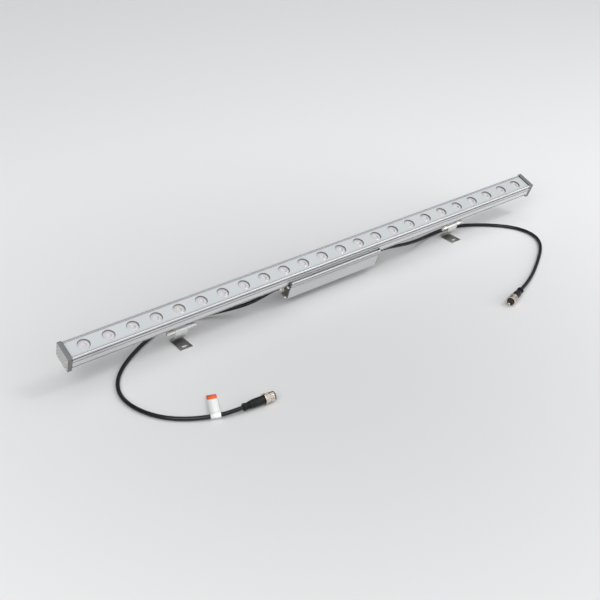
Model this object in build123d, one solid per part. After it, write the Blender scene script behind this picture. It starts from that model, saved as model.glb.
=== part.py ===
from build123d import *
import os
from math import asin, cos, degrees, pi, radians, sin, tan

os.makedirs("parts", exist_ok=True)

# A linear LED floodlight: a lens bar on two tilting feet, with a driver box under its middle and two cables.
# All sizes are in millimetres. The origin is midway between the two mounting slots, on the mounting surface.
# +X runs along the bar, +Y points away from the lit side's lean, +Z is up.
# Pieces of the bar are drawn in the bar's own frame: its origin is the middle of the front panel's face,
# and that frame is then tilted about the hinge axis.

# Bar
BAR_LENGTH = 1000.0
TILT = 20.0
HOUSING_WIDTH = 36.4
SIDE_DEPTH = 21.4
HOUSING_DEPTH = 26.0
BASE_WIDTH = 32.4
BASE_CHAMFER = 2.6
RIM_RISE = 1.0
RIM_WIDTH = 3.55
RIM_ROUND = 1.3
RIM_LINE = 0.9
RIM_LINE_WIDTH = 0.9
RIM_LINE_DEPTH = 0.9
ROUND_STEPS = 4
RIM_HEIGHT = 3.3
GROOVE_DEPTH = 2.4
GROOVE_HEIGHT = 1.8
SIDE_LINE = 8.5
SIDE_LINE_HEIGHT = 1.1
SIDE_LINE_DEPTH = 1.2
RIDGE_TOP = 9.6
RIDGE_BOTTOM = 18.4
LOW_GROOVE = 19.2
LOW_GROOVE_HEIGHT = 1.4
LOW_GROOVE_DEPTH = 2.2
RIDGE_PITCH = 1.4
RIDGE_DEPTH = 0.35
RIDGE_MARGIN = 0.8
CAVITY_WIDTH = 21.2
CAVITY_DEPTH = 16.6
CHAMBER_WIDTH = 18.0
CHAMBER_HEIGHT = 4.0
UNDERSIDE_WALL = 2.8

# Front panel, lenses and light engine
PANEL_WIDTH = 27.8
PANEL_THICKNESS = 1.2
PANEL_CLEARANCE = 0.15
PANEL_GASKET = 0.6
LENS_COUNT = 24
LENS_PITCH = 40.5
WINDOW_DIAMETER = 20.2
LENS_DIAMETER = 19.8
LENS_RECESS = 2.5
LENS_RIM = 1.6
LENS_EDGE = 0.5
DIMPLE_DIAMETER = 9.4
DIMPLE_FLOOR_DIAMETER = 7.4
DIMPLE_DEPTH = 1.2
LENS_FOOT_DIAMETER = 8.4
TRAY_WIDTH = 22.6
TRAY_THICKNESS = 3.5
TRAY_CLEARANCE = 0.2
BOARD_THICKNESS = 1.6
BOARD_CLEARANCE = 0.4
BOARD_GAP = 1.0
LED_SIZE = 5.0
LED_HEIGHT = 1.5

# End caps
CAP_WIDTH = 37.4
CAP_HEIGHT = 29.8
CAP_RISE = 2.4
CAP_THICKNESS = 7.0
CAP_CORNER = 1.6
CAP_EDGE = 0.7
CAP_GASKET = 0.8
CAP_GASKET_INSET = 1.2
CAP_SCREW_SPAN = 29.0
CAP_SCREW_TOP = 6.6
CAP_SCREW_BOTTOM = 22.4
CAP_SCREW_LENGTH = 16.0
CAP_SCREW_SINK = 1.2

# Driver box
DRIVER_LENGTH = 200.0
DRIVER_BAND_WIDTH = 48.8
DRIVER_FACE_WIDTH = 46.6
DRIVER_TOP = 11.9
DRIVER_BAND_HEIGHT = 11.6
DRIVER_BOTTOM = 51.8
DRIVER_LIP = 2.0
LIP_ROUND = 0.8
BAND_LINES = (15.2, 20.4)
BAND_LINE_HEIGHT = 1.1
BAND_LINE_DEPTH = 0.8
DRIVER_WALL = 2.6
DRIVER_CORNER = 1.5
DRIVER_RIDGE_PITCH = 1.5
DRIVER_PLATE = 2.0
DRIVER_PLATE_WIDTH = 45.0
DRIVER_PLATE_INSET = 0.8
SADDLE_CLEARANCE = 0.5
DRIVER_ROOF = 2.4
DRIVER_SCREW_SPAN = 39.4
DRIVER_SCREW_TOP = 24.4
DRIVER_SCREW_BOTTOM = 48.6
DRIVER_SCREW_LENGTH = 14.0
DRIVER_FIXING_SPAN = 150.0
BOSS_DIAMETER = 6.4
DRIVER_BOARD_ROOM = 14.0
DRIVER_BOARD_WIDTH = 33.6
DRIVER_BOARD_LEDGE = 3.0
DRIVER_LEDGE_WIDTH = 6.0
TRANSFORMER_SIZE = (28.0, 24.0, 13.0)
TRANSFORMER_PLACE = 34.0
CAPACITOR_DIAMETER = 11.0
CAPACITOR_HEIGHT = 14.0
CAPACITOR_PITCH = 15.0
CAPACITOR_START = -52.0
CAPACITOR_COUNT = 3
WIRE_DIAMETER = 2.4
WIRE_CLEARANCE = 0.3
WIRE_OFFSET = 6.0

# Small screws, one size for caps, box and clips
SCREW_DIAMETER = 3.0
SCREW_HEAD_DIAMETER = 5.4
SCREW_HEAD_HEIGHT = 2.0
SCREW_HEAD_EDGE = 0.8
SCREW_SOCKET_DIAMETER = 2.6
SCREW_SOCKET_DEPTH = 1.2
SCREW_CLEARANCE = 0.1
HEX_SIDES = 6

# Tilting brackets
FOOT_SPACING = 602.0
FOOT_WIDTH = 22.0
STRIP = 1.5
HINGE_HEIGHT = 28.0
HINGE_LEAD = 9.0
HINGE_DROP = 16.0
HINGE_CLEARANCE = 0.05
HINGE_SIDE_GAP = 0.3
BOLT_DIAMETER = 4.0
BOLT_HEAD_DIAMETER = 7.4
BOLT_HEAD_HEIGHT = 2.6
BOLT_HEAD_CROWN = 4.4
BOLT_SOCKET_DIAMETER = 2.8
BOLT_SOCKET_DEPTH = 1.4
BOLT_TAIL = 1.2
NUT_WIDTH = 7.0
NUT_HEIGHT = 3.2
WASHER_DIAMETER = 9.0
WASHER_THICKNESS = 0.8
CURL_SWEEP = 290.0
WEB_RADIUS = 24.0
HAIRPIN_RADIUS = 2.0
FOOT_NOSE = 17.3
FOOT_CORNER = 2.0
SLOT_TO_HINGE = 8.8
SLOT_LENGTH = 10.0
SLOT_WIDTH = 5.2
CLIP_WIDTH = 46.0
CLIP_BACK = 22.0
CLIP_BEND = 2.4
CLIP_CUT_ROOM = 2.0
CLIP_SCREW_SPAN = 30.0
CLIP_SCREW_BACK = 14.0
CLIP_SCREW_LENGTH = 6.0

# Cables and glands
CABLE_DIAMETER = 6.5
GLAND_DROP = 38.0
GLAND_OFFSET = -4.6
GLAND_WIDTH = 17.0
GLAND_BASE = 2.6
GLAND_DOME_LENGTH = 5.4
GLAND_DOME_DIAMETER = 14.4
GLAND_NOSE_DIAMETER = 10.0
GLAND_STUB_DIAMETER = 12.0
GLAND_STUB_LENGTH = 7.0
GLAND_NUT_WIDTH = 15.0
GLAND_NUT_HEIGHT = 3.5
GLAND_SEAT = 4.0
GLAND_CLEARANCE = 0.1
ARC_SHARE = 0.45
GLAND_RUN = 14.0
CONNECTOR_RUN = 15.0

# Plug and socket, measured along their axis from the back of the collar
CONNECTOR_HEIGHT = 8.7
COLLAR_DIAMETER = 11.8
COLLAR_LENGTH = 3.0
NECK_DIAMETER = 8.8
NECK_GAP = 1.2
NECK_RIB_DIAMETER = 10.4
NECK_RIB = 1.4
NECK_RIBS = 2
BODY_START_DIAMETER = 11.2
BODY_DIAMETER = 13.2
BODY_TAPER = 7.0
PLUG_BODY_LENGTH = 34.0
SOCKET_BODY_LENGTH = 28.5
SPIGOT_DIAMETER = 9.6
PAD_PLACE = 21.5
PAD_LENGTH = 9.0
PAD_WIDTH = 6.0
PAD_RISE = 0.6
PAD_TURN = 48.0
COUPLING_LENGTH = 15.6
COUPLING_DIAMETER = 15.2
COUPLING_FLANGE_DIAMETER = 17.2
COUPLING_FLANGE_LENGTH = 2.6
COUPLING_BORE_DIAMETER = 12.8
COUPLING_SHOULDER = 3.0
COUPLING_CLEARANCE = 0.08
COUPLING_END_GAP = 0.3
COUPLING_GROOVE = 0.8
MOUTH_DIAMETER = 14.6
MOUTH_LENGTH = 2.4
FLUTE_COUNT = 10
FLUTE_DIAMETER = 3.6
FLUTE_DEPTH = 0.6
INSERT_FLANGE_DIAMETER = 12.0
INSERT_FLANGE_LENGTH = 1.6
INSERT_DIAMETER = 11.0
INSERT_LENGTH = 10.0
SOCKET_SEAL_DIAMETER = 12.2
SOCKET_SEAL_LENGTH = 1.6
SOCKET_SEAL_DEPTH = 1.2
PLUG_SEAL_DIAMETER = 14.0
PLUG_SEAL_LENGTH = 1.5
SHELL_DIAMETER = 12.0
SHELL_WALL = 1.0
SHELL_FLOOR = 2.0
CONTACT_COUNT = 3
CONTACT_RADIUS = 2.9
CONTACT_DIAMETER = 2.2
CONTACT_BORE_DIAMETER = 1.2
CONTACT_DEPTH = 4.0
CONTACT_CLEARANCE = 0.03
PIN_DIAMETER = 1.1
PIN_LENGTH = 6.5
KEY_WIDTH = 1.6
KEY_DEPTH = 0.9

# Flag tag on the left cable
TAG_WIDTH = 15.0
TAG_LENGTH = 52.0
TAG_THICKNESS = 0.4
TAG_ROOM = 0.35
TAG_FROM_PLUG = 42.0
TAG_DROP = 4.6

# Places that follow from the sizes above
SCREW_RADIUS = SCREW_DIAMETER / 2
SCREW_HOLE_RADIUS = SCREW_RADIUS + SCREW_CLEARANCE
HOUSING_LENGTH = BAR_LENGTH - 2 * (CAP_THICKNESS + CAP_GASKET)
PANEL_SEAT = PANEL_THICKNESS + PANEL_GASKET
TRAY_TOP = PANEL_THICKNESS + TRAY_CLEARANCE
TRAY_SEAT = TRAY_TOP + TRAY_THICKNESS
BOARD_TOP = CAVITY_DEPTH - BOARD_THICKNESS
LED_TOP = BOARD_TOP - LED_HEIGHT
DRIVER_BODY_LENGTH = DRIVER_LENGTH - 2 * DRIVER_PLATE
DRIVER_BOARD_LENGTH = DRIVER_BODY_LENGTH - 2 * DRIVER_BOARD_ROOM
SADDLE_FLOOR = HOUSING_DEPTH
SADDLE_SHOULDER = SIDE_DEPTH + SADDLE_CLEARANCE
DRIVER_CEILING = HOUSING_DEPTH + DRIVER_ROOF
DRIVER_FLOOR = DRIVER_BOTTOM - DRIVER_WALL
BOARD_LEVEL = DRIVER_FLOOR - DRIVER_BOARD_LEDGE
CHAMBER_HALF = DRIVER_FACE_WIDTH / 2 - DRIVER_WALL
BOLT_RADIUS = BOLT_DIAMETER / 2
CURL_RADIUS = BOLT_RADIUS + HINGE_CLEARANCE + STRIP / 2
HINGE_DEPTH = HOUSING_DEPTH + HINGE_DROP
CABLE_RADIUS = CABLE_DIAMETER / 2
SHELL_LENGTH = COUPLING_LENGTH - COUPLING_SHOULDER + PLUG_SEAL_LENGTH

TILT_RAD = radians(TILT)
PANEL_Y = SLOT_TO_HINGE + HINGE_LEAD * cos(TILT_RAD) - HINGE_DEPTH * sin(TILT_RAD)
PANEL_Z = HINGE_HEIGHT + HINGE_LEAD * sin(TILT_RAD) + HINGE_DEPTH * cos(TILT_RAD)
BAR = Pos(0, PANEL_Y, PANEL_Z) * Rot(TILT, 0, 0)


def keep(name, *shapes):
    """Write one node: a single solid, or a group of separate ones."""
    shape = shapes[0] if len(shapes) == 1 else Compound(list(shapes))
    export_step(shape, f"parts/{name}.step")


def bar_length_of(face, length):
    """A section drawn across the bar (Y, Z), run along X and centred."""
    return Pos(-length / 2, 0, 0) * extrude(Plane.YZ * face, length)


def mirrored_outline(half):
    """A closed section from the points of its +Y half, listed from top to bottom."""
    other = [(-y, z) for y, z in reversed(half)]
    return make_face(Polyline(*half, *other, close=True))


def ridges(y, top, bottom, pitch, depth):
    """Points of fine V grooves down a side wall."""
    count = int((top - bottom) / pitch)
    start = (top + bottom + count * pitch) / 2
    points = [(y, start)]
    for i in range(count):
        points.append((y - depth, start - (i + 0.5) * pitch))
        points.append((y, start - (i + 1) * pitch))
    return points


def rounded(y, z, radius):
    """Points round an outer corner, from its top face to its side."""
    turns = [radians(90 * i / ROUND_STEPS) for i in range(ROUND_STEPS + 1)]
    return [(y - radius + radius * sin(t), z - radius + radius * cos(t)) for t in turns]


def side_slot(y, top, height, depth):
    """Points of a square groove in a side wall, its top edge at a depth under the panel face."""
    return [(y, -top), (y - depth, -top), (y - depth, -top - height), (y, -top - height)]


def rect(width, top, bottom):
    """A rectangle across the bar, centred in Y, between two depths under the panel face."""
    return Pos(0, -(top + bottom) / 2) * Rectangle(width, bottom - top)


def tube_hole(place, radius, length):
    """A cylinder for cutting, centred at a place, along the place's Z."""
    return place * Cylinder(radius, length)


def screw(length):
    """Screw with a domed head, its seat at the origin, head up."""
    radius = SCREW_HEAD_DIAMETER / 2
    rise = SCREW_HEAD_HEIGHT - SCREW_HEAD_EDGE
    crown = (radius**2 + rise**2) / (2 * rise)
    section = make_face(
        [
            Polyline((0, SCREW_HEAD_HEIGHT), (0, 0), (radius, 0), (radius, SCREW_HEAD_EDGE)),
            RadiusArc((radius, SCREW_HEAD_EDGE), (0, SCREW_HEAD_HEIGHT), -crown),
        ]
    )
    head = revolve(Plane.XZ * section, Axis.Z)
    socket = Pos(0, 0, SCREW_HEAD_HEIGHT) * extrude(
        RegularPolygon(SCREW_SOCKET_DIAMETER / 2, HEX_SIDES), -SCREW_SOCKET_DEPTH
    )
    shank = Pos(0, 0, -length / 2) * Cylinder(SCREW_RADIUS, length)
    return head + shank - socket


def lens_places():
    """X of each lens, centred on the bar."""
    return [(i - (LENS_COUNT - 1) / 2) * LENS_PITCH for i in range(LENS_COUNT)]


def cap_screw_places():
    """(y, z) of the four screws of one end cap."""
    return [(s * CAP_SCREW_SPAN / 2, -z) for s in (-1, 1) for z in (CAP_SCREW_TOP, CAP_SCREW_BOTTOM)]


def driver_screw_places():
    """(y, z) of the four screws of one driver end plate."""
    return [(s * DRIVER_SCREW_SPAN / 2, -z) for s in (-1, 1) for z in (DRIVER_SCREW_TOP, DRIVER_SCREW_BOTTOM)]


def clip_screw_places():
    """(x, y) of the four clip screws under the bar."""
    return [
        (side * FOOT_SPACING / 2 + s * CLIP_SCREW_SPAN / 2, CLIP_SCREW_BACK - HINGE_LEAD)
        for side in (-1, 1)
        for s in (-1, 1)
    ]


def end_screws(places, seat_x, length):
    """Screws through both ends of the bar or the box, heads outwards."""
    left = [Pos(-seat_x, y, z) * Rot(0, -90, 0) * screw(length) for y, z in places]
    right = [Pos(seat_x, y, z) * Rot(0, 90, 0) * screw(length) for y, z in places]
    return left + right


def along_x(x, y, z):
    """A place whose own Z runs along the bar."""
    return Pos(x, y, z) * Rot(0, 90, 0)


def housing():
    """The bar's extrusion: rims, side grooves, ridged sides, light cavity and a wire chamber."""
    side = HOUSING_WIDTH / 2
    rim_in = PANEL_WIDTH / 2 + PANEL_CLEARANCE
    rim_out = rim_in + RIM_WIDTH
    rim_low = RIM_RISE - RIM_HEIGHT
    line = rim_in + RIM_LINE
    base = BASE_WIDTH / 2
    half = [
        (rim_in, RIM_RISE),
        (line, RIM_RISE),
        (line, RIM_RISE - RIM_LINE_DEPTH),
        (line + RIM_LINE_WIDTH, RIM_RISE - RIM_LINE_DEPTH),
        (line + RIM_LINE_WIDTH, RIM_RISE),
        *rounded(rim_out, RIM_RISE, RIM_ROUND),
        (rim_out, rim_low),
        (side - GROOVE_DEPTH, rim_low),
        (side - GROOVE_DEPTH, rim_low - GROOVE_HEIGHT),
        (side, rim_low - GROOVE_HEIGHT),
        *side_slot(side, SIDE_LINE, SIDE_LINE_HEIGHT, SIDE_LINE_DEPTH),
        *ridges(side, -RIDGE_TOP, -RIDGE_BOTTOM, RIDGE_PITCH, RIDGE_DEPTH),
        *side_slot(side, LOW_GROOVE, LOW_GROOVE_HEIGHT, LOW_GROOVE_DEPTH),
        (side, -SIDE_DEPTH),
        (base, -SIDE_DEPTH),
        (base, -HOUSING_DEPTH + BASE_CHAMFER),
        (base - BASE_CHAMFER, -HOUSING_DEPTH),
    ]
    face = mirrored_outline(half)
    face -= rect(2 * rim_in, -RIM_RISE, PANEL_SEAT)
    face -= rect(TRAY_WIDTH + 2 * TRAY_CLEARANCE, PANEL_SEAT, TRAY_SEAT)
    face -= rect(CAVITY_WIDTH, TRAY_SEAT, CAVITY_DEPTH)
    chamber_low = HOUSING_DEPTH - UNDERSIDE_WALL
    face -= rect(CHAMBER_WIDTH, chamber_low - CHAMBER_HEIGHT, chamber_low)
    solid = bar_length_of(face, HOUSING_LENGTH)
    holes = []
    thread = CAP_SCREW_LENGTH
    for y, z in cap_screw_places():
        for end in (-1, 1):
            holes.append(tube_hole(along_x(end * HOUSING_LENGTH / 2, y, z), SCREW_HOLE_RADIUS, 2 * thread))
    wall = Pos(0, 0, -HOUSING_DEPTH)
    for x, y in clip_screw_places():
        holes.append(tube_hole(wall * Pos(x, y, 0), SCREW_HOLE_RADIUS, 2 * (UNDERSIDE_WALL + CHAMBER_HEIGHT)))
    for end in (-1, 1):
        place = wall * Pos(end * DRIVER_FIXING_SPAN / 2, 0, 0)
        holes.append(tube_hole(place, SCREW_HOLE_RADIUS, 2 * (UNDERSIDE_WALL + CHAMBER_HEIGHT)))
        wire = Pos(end * WIRE_OFFSET, 0, -HOUSING_DEPTH)
        holes.append(tube_hole(wire, WIRE_DIAMETER / 2 + WIRE_CLEARANCE, 2 * (HOUSING_DEPTH - BOARD_TOP)))
    return solid - holes


def front_panel():
    """Plate with one round window over each lens."""
    plate = bar_length_of(rect(PANEL_WIDTH, 0, PANEL_THICKNESS), HOUSING_LENGTH)
    return plate - [Pos(x, 0, 0) * Cylinder(WINDOW_DIAMETER / 2, 3 * PANEL_THICKNESS) for x in lens_places()]


def panel_gasket():
    """Flat silicone ring between the panel and its ledge."""
    outer = bar_length_of(rect(PANEL_WIDTH, PANEL_THICKNESS, PANEL_SEAT), HOUSING_LENGTH)
    band = (PANEL_WIDTH - TRAY_WIDTH) / 2 - TRAY_CLEARANCE
    inner = rect(PANEL_WIDTH - 2 * band, PANEL_THICKNESS, PANEL_SEAT)
    return outer - bar_length_of(inner, HOUSING_LENGTH - 2 * band)


def lens_tray():
    """Black strip that holds the lenses, resting on the housing's inner ledges."""
    length = HOUSING_LENGTH - 2 * ((PANEL_WIDTH - TRAY_WIDTH) / 2)
    strip = bar_length_of(rect(TRAY_WIDTH, TRAY_TOP, TRAY_SEAT), length)
    hole = Pos(0, 0, -TRAY_TOP) * Cylinder(WINDOW_DIAMETER / 2, 3 * TRAY_THICKNESS)
    return strip - [Pos(x, 0, 0) * hole for x in lens_places()]


def lens():
    """One collimator: a rim with a dimpled face over a cone that stands on its LED."""
    radius = LENS_DIAMETER / 2
    foot = LENS_FOOT_DIAMETER / 2
    section = make_face(
        Polyline(
            (0, -LENS_RECESS - DIMPLE_DEPTH),
            (DIMPLE_FLOOR_DIAMETER / 2, -LENS_RECESS - DIMPLE_DEPTH),
            (DIMPLE_DIAMETER / 2, -LENS_RECESS),
            (radius - LENS_EDGE, -LENS_RECESS),
            (radius, -LENS_RECESS - LENS_EDGE),
            (radius, -LENS_RECESS - LENS_RIM),
            (foot, -LED_TOP),
            (0, -LED_TOP),
            close=True,
        )
    )
    return revolve(Plane.XZ * section, Axis.Z)


def led_board(end):
    """Half of the LED board pair; end is -1 for the left half and 1 for the right."""
    length = (HOUSING_LENGTH - BOARD_GAP) / 2 - BOARD_GAP
    width = CAVITY_WIDTH - 2 * BOARD_CLEARANCE
    place = Pos(end * (length + BOARD_GAP) / 2, 0, -(BOARD_TOP + CAVITY_DEPTH) / 2)
    return place * Box(length, width, BOARD_THICKNESS)


def end_cap(end):
    """Moulded cap with rounded outer edges and four counterbored screws."""
    middle = CAP_RISE - CAP_HEIGHT / 2
    outline = Pos(0, middle) * RectangleRounded(CAP_WIDTH, CAP_HEIGHT, CAP_CORNER)
    cap = extrude(Plane.YZ * outline, CAP_THICKNESS)
    cap = fillet(cap.faces().sort_by(Axis.X)[-1].edges(), CAP_EDGE)
    for y, z in cap_screw_places():
        cap -= along_x(CAP_THICKNESS / 2, y, z) * Cylinder(SCREW_HOLE_RADIUS, 2 * CAP_THICKNESS)
        bore = SCREW_HEAD_DIAMETER / 2 + SCREW_CLEARANCE
        cap -= along_x(CAP_THICKNESS, y, z) * Cylinder(bore, 2 * CAP_SCREW_SINK)
    inner = BAR_LENGTH / 2 - CAP_THICKNESS
    if end < 0:
        cap = mirror(cap, Plane.YZ)
    return Pos(end * inner, 0, 0) * cap


def cap_gasket(end):
    """Thin sheet between the cap and the extrusion's end."""
    middle = CAP_RISE - CAP_HEIGHT / 2
    width = CAP_WIDTH - 2 * CAP_GASKET_INSET
    outline = Pos(0, middle) * RectangleRounded(width, CAP_HEIGHT - 2 * CAP_GASKET_INSET, CAP_CORNER)
    for y, z in cap_screw_places():
        outline -= Pos(y, z) * Circle(SCREW_HOLE_RADIUS)
    start = HOUSING_LENGTH / 2 if end > 0 else -HOUSING_LENGTH / 2 - CAP_GASKET
    return Pos(start, 0, 0) * extrude(Plane.YZ * outline, CAP_GASKET)


def driver_box():
    """Box extrusion: a saddle that takes the bar's underside, over a closed chamber for the driver."""
    band = DRIVER_BAND_WIDTH / 2
    face_y = DRIVER_FACE_WIDTH / 2
    band_low = -DRIVER_TOP - DRIVER_BAND_HEIGHT
    half = [
        (band - DRIVER_LIP, -DRIVER_TOP),
        *rounded(band, -DRIVER_TOP, LIP_ROUND),
        *[point for top in BAND_LINES for point in side_slot(band, top, BAND_LINE_HEIGHT, BAND_LINE_DEPTH)],
        (band, band_low),
        (face_y, band_low - (band - face_y)),
        *ridges(face_y, band_low - 2 * (band - face_y), -DRIVER_BOTTOM + DRIVER_CORNER + RIDGE_MARGIN,
                DRIVER_RIDGE_PITCH, RIDGE_DEPTH),
        (face_y, -DRIVER_BOTTOM + DRIVER_CORNER),
        (face_y - DRIVER_CORNER, -DRIVER_BOTTOM),
    ]
    face = mirrored_outline(half)
    face -= rect(DRIVER_BAND_WIDTH - 2 * DRIVER_LIP, DRIVER_TOP, SADDLE_SHOULDER)
    face -= rect(BASE_WIDTH + 2 * SADDLE_CLEARANCE, SADDLE_SHOULDER, SADDLE_FLOOR)
    chamber = rect(2 * CHAMBER_HALF, DRIVER_CEILING, DRIVER_FLOOR)
    for side in (-1, 1):
        ledge_y = side * (CHAMBER_HALF - DRIVER_LEDGE_WIDTH / 2)
        ledge_z = -DRIVER_FLOOR + DRIVER_BOARD_LEDGE / 2
        chamber -= Pos(ledge_y, ledge_z) * Rectangle(DRIVER_LEDGE_WIDTH, DRIVER_BOARD_LEDGE)
    for y, z in driver_screw_places():
        chamber -= Pos(y, z) * Circle(BOSS_DIAMETER / 2)
    face -= chamber
    for y, z in driver_screw_places():
        face -= Pos(y, z) * Circle(SCREW_HOLE_RADIUS)
    solid = bar_length_of(face, DRIVER_BODY_LENGTH)
    roof = Pos(0, 0, -(SADDLE_FLOOR + DRIVER_CEILING) / 2)
    holes = []
    for end in (-1, 1):
        fixing_place = roof * Pos(end * DRIVER_FIXING_SPAN / 2, 0, 0)
        holes.append(tube_hole(fixing_place, SCREW_HOLE_RADIUS, 2 * DRIVER_ROOF))
        wire = WIRE_DIAMETER / 2 + WIRE_CLEARANCE
        holes.append(tube_hole(roof * Pos(end * WIRE_OFFSET, 0, 0), wire, 2 * DRIVER_ROOF))
    return solid - holes


def driver_end(end):
    """End plate of the box, notched to pass the bar, with the gland's hole."""
    outline = rect(DRIVER_PLATE_WIDTH, DRIVER_TOP + DRIVER_PLATE_INSET, DRIVER_BOTTOM - DRIVER_PLATE_INSET)
    outline -= rect(HOUSING_WIDTH + 2 * SADDLE_CLEARANCE, DRIVER_TOP, SADDLE_SHOULDER)
    outline -= rect(BASE_WIDTH + 2 * SADDLE_CLEARANCE, SADDLE_SHOULDER, SADDLE_FLOOR + SADDLE_CLEARANCE)
    outline = fillet(outline.vertices().sort_by(Axis.Y)[:2], DRIVER_CORNER)
    outline -= Pos(GLAND_OFFSET, -GLAND_DROP) * Circle(GLAND_STUB_DIAMETER / 2 + GLAND_CLEARANCE)
    for y, z in driver_screw_places():
        outline -= Pos(y, z) * Circle(SCREW_HOLE_RADIUS)
    start = DRIVER_BODY_LENGTH / 2 if end > 0 else -DRIVER_LENGTH / 2
    return Pos(start, 0, 0) * extrude(Plane.YZ * outline, DRIVER_PLATE)


def driver_board():
    """Driver circuit board on the chamber's side ledges."""
    place = Pos(0, 0, -BOARD_LEVEL + BOARD_THICKNESS / 2)
    return place * Box(DRIVER_BOARD_LENGTH, DRIVER_BOARD_WIDTH, BOARD_THICKNESS)


def on_driver_board(x, shape, height):
    """Stand a part on the driver board at X."""
    return Pos(x, 0, -BOARD_LEVEL + BOARD_THICKNESS + height / 2) * shape


def feed_wire(end):
    """Straight lead from the driver board up to one LED board."""
    low = -BOARD_LEVEL + BOARD_THICKNESS
    high = -CAVITY_DEPTH
    return Pos(end * WIRE_OFFSET, 0, (low + high) / 2) * Cylinder(WIRE_DIAMETER / 2, high - low)


def clip():
    """Bracket clip in the hinge's own frame: base, leaf and rolled ears, cut out for the foot's knuckle."""
    out = CURL_RADIUS + STRIP / 2
    inner = CURL_RADIUS - STRIP / 2
    bend_y = CURL_RADIUS + CLIP_BEND
    bend_z = HINGE_DROP - STRIP / 2 - CLIP_BEND
    tail = radians(-CURL_SWEEP)
    edges = [
        CenterArc((0, 0), out, 0, -CURL_SWEEP),
        Line((out * cos(tail), out * sin(tail)), (inner * cos(tail), inner * sin(tail))),
        CenterArc((0, 0), inner, 0, -CURL_SWEEP),
        Line((inner, 0), (inner, bend_z)),
        CenterArc((bend_y, bend_z), CLIP_BEND + STRIP / 2, 180, -90),
        Line((bend_y, HINGE_DROP), (CLIP_BACK, HINGE_DROP)),
        Line((CLIP_BACK, HINGE_DROP), (CLIP_BACK, HINGE_DROP - STRIP)),
        Line((CLIP_BACK, HINGE_DROP - STRIP), (bend_y, HINGE_DROP - STRIP)),
        CenterArc((bend_y, bend_z), CLIP_BEND - STRIP / 2, 90, 90),
        Line((out, bend_z), (out, 0)),
    ]
    solid = bar_length_of(make_face(edges), CLIP_WIDTH)
    gap = FOOT_WIDTH + 2 * HINGE_SIDE_GAP
    cut_top = out + CLIP_CUT_ROOM
    solid -= Pos(0, 0, (cut_top - 2 * out) / 2) * Box(gap, 4 * out, cut_top + 2 * out)
    for end in (-1, 1):
        place = Pos(end * CLIP_SCREW_SPAN / 2, CLIP_SCREW_BACK, HINGE_DROP)
        solid -= place * Cylinder(SCREW_HOLE_RADIUS, 3 * STRIP)
    return solid


def foot():
    """Foot of bent strip in the hinge axis's own frame: knuckle, bowed web, hairpin and slotted plate."""
    half = STRIP / 2
    out = CURL_RADIUS + half
    inner = CURL_RADIUS - half
    sweep = asin((HINGE_HEIGHT - half - HAIRPIN_RADIUS) / (WEB_RADIUS + HAIRPIN_RADIUS))
    turn = degrees(sweep)
    web = (WEB_RADIUS - CURL_RADIUS, 0)
    reach = WEB_RADIUS + HAIRPIN_RADIUS
    pin_y = web[0] - reach * cos(sweep)
    pin_z = -reach * sin(sweep)
    start = 180 - CURL_SWEEP
    tip = radians(start)
    floor = -HINGE_HEIGHT
    edges = [
        CenterArc((0, 0), out, start, CURL_SWEEP),
        CenterArc(web, WEB_RADIUS + half, 180, turn),
        CenterArc((pin_y, pin_z), HAIRPIN_RADIUS - half, turn, -turn - 90),
        Line((pin_y, floor + STRIP), (-FOOT_NOSE, floor + STRIP)),
        Line((-FOOT_NOSE, floor + STRIP), (-FOOT_NOSE, floor)),
        Line((-FOOT_NOSE, floor), (pin_y, floor)),
        CenterArc((pin_y, pin_z), HAIRPIN_RADIUS + half, -90, turn + 90),
        CenterArc(web, WEB_RADIUS - half, 180 + turn, -turn),
        CenterArc((0, 0), inner, start, CURL_SWEEP),
        Line((inner * cos(tip), inner * sin(tip)), (out * cos(tip), out * sin(tip))),
    ]
    solid = bar_length_of(make_face(edges), FOOT_WIDTH)
    corners = solid.edges().filter_by(Axis.Z).group_by(Axis.Y)[0]
    solid = fillet(corners, FOOT_CORNER)
    slot = Pos(0, -SLOT_TO_HINGE, floor - STRIP) * extrude(SlotOverall(SLOT_LENGTH, SLOT_WIDTH), 3 * STRIP)
    return solid - slot


def hinge_bolt():
    """Domed socket bolt along the hinge axis, head at -X."""
    seat = CLIP_WIDTH / 2 + WASHER_THICKNESS
    end = seat + NUT_HEIGHT + BOLT_TAIL
    radius = BOLT_HEAD_DIAMETER / 2
    section = make_face(
        [
            Line((-seat - BOLT_HEAD_HEIGHT, 0), (end, 0)),
            Line((end, 0), (end, BOLT_RADIUS)),
            Line((end, BOLT_RADIUS), (-seat, BOLT_RADIUS)),
            Line((-seat, BOLT_RADIUS), (-seat, radius)),
            RadiusArc((-seat, radius), (-seat - BOLT_HEAD_HEIGHT, 0), -BOLT_HEAD_CROWN),
        ]
    )
    bolt = revolve(section, Axis.X)
    socket = extrude(RegularPolygon(BOLT_SOCKET_DIAMETER / 2, HEX_SIDES), BOLT_SOCKET_DEPTH)
    return bolt - Pos(-seat - BOLT_HEAD_HEIGHT, 0, 0) * Rot(0, 90, 0) * socket


def ring_x(x, outer, inner, length):
    """A flat ring round the hinge axis, starting at X."""
    return extrude(Plane.YZ.offset(x) * (Circle(outer) - Circle(inner)), length)


def hinge_nut():
    """Hexagon nut at the +X end of the hinge bolt."""
    start = CLIP_WIDTH / 2 + WASHER_THICKNESS
    bore = BOLT_RADIUS + HINGE_CLEARANCE
    hexagon = RegularPolygon(NUT_WIDTH / 2, HEX_SIDES, major_radius=False) - Circle(bore)
    return extrude(Plane.YZ.offset(start) * hexagon, NUT_HEIGHT)


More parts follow.
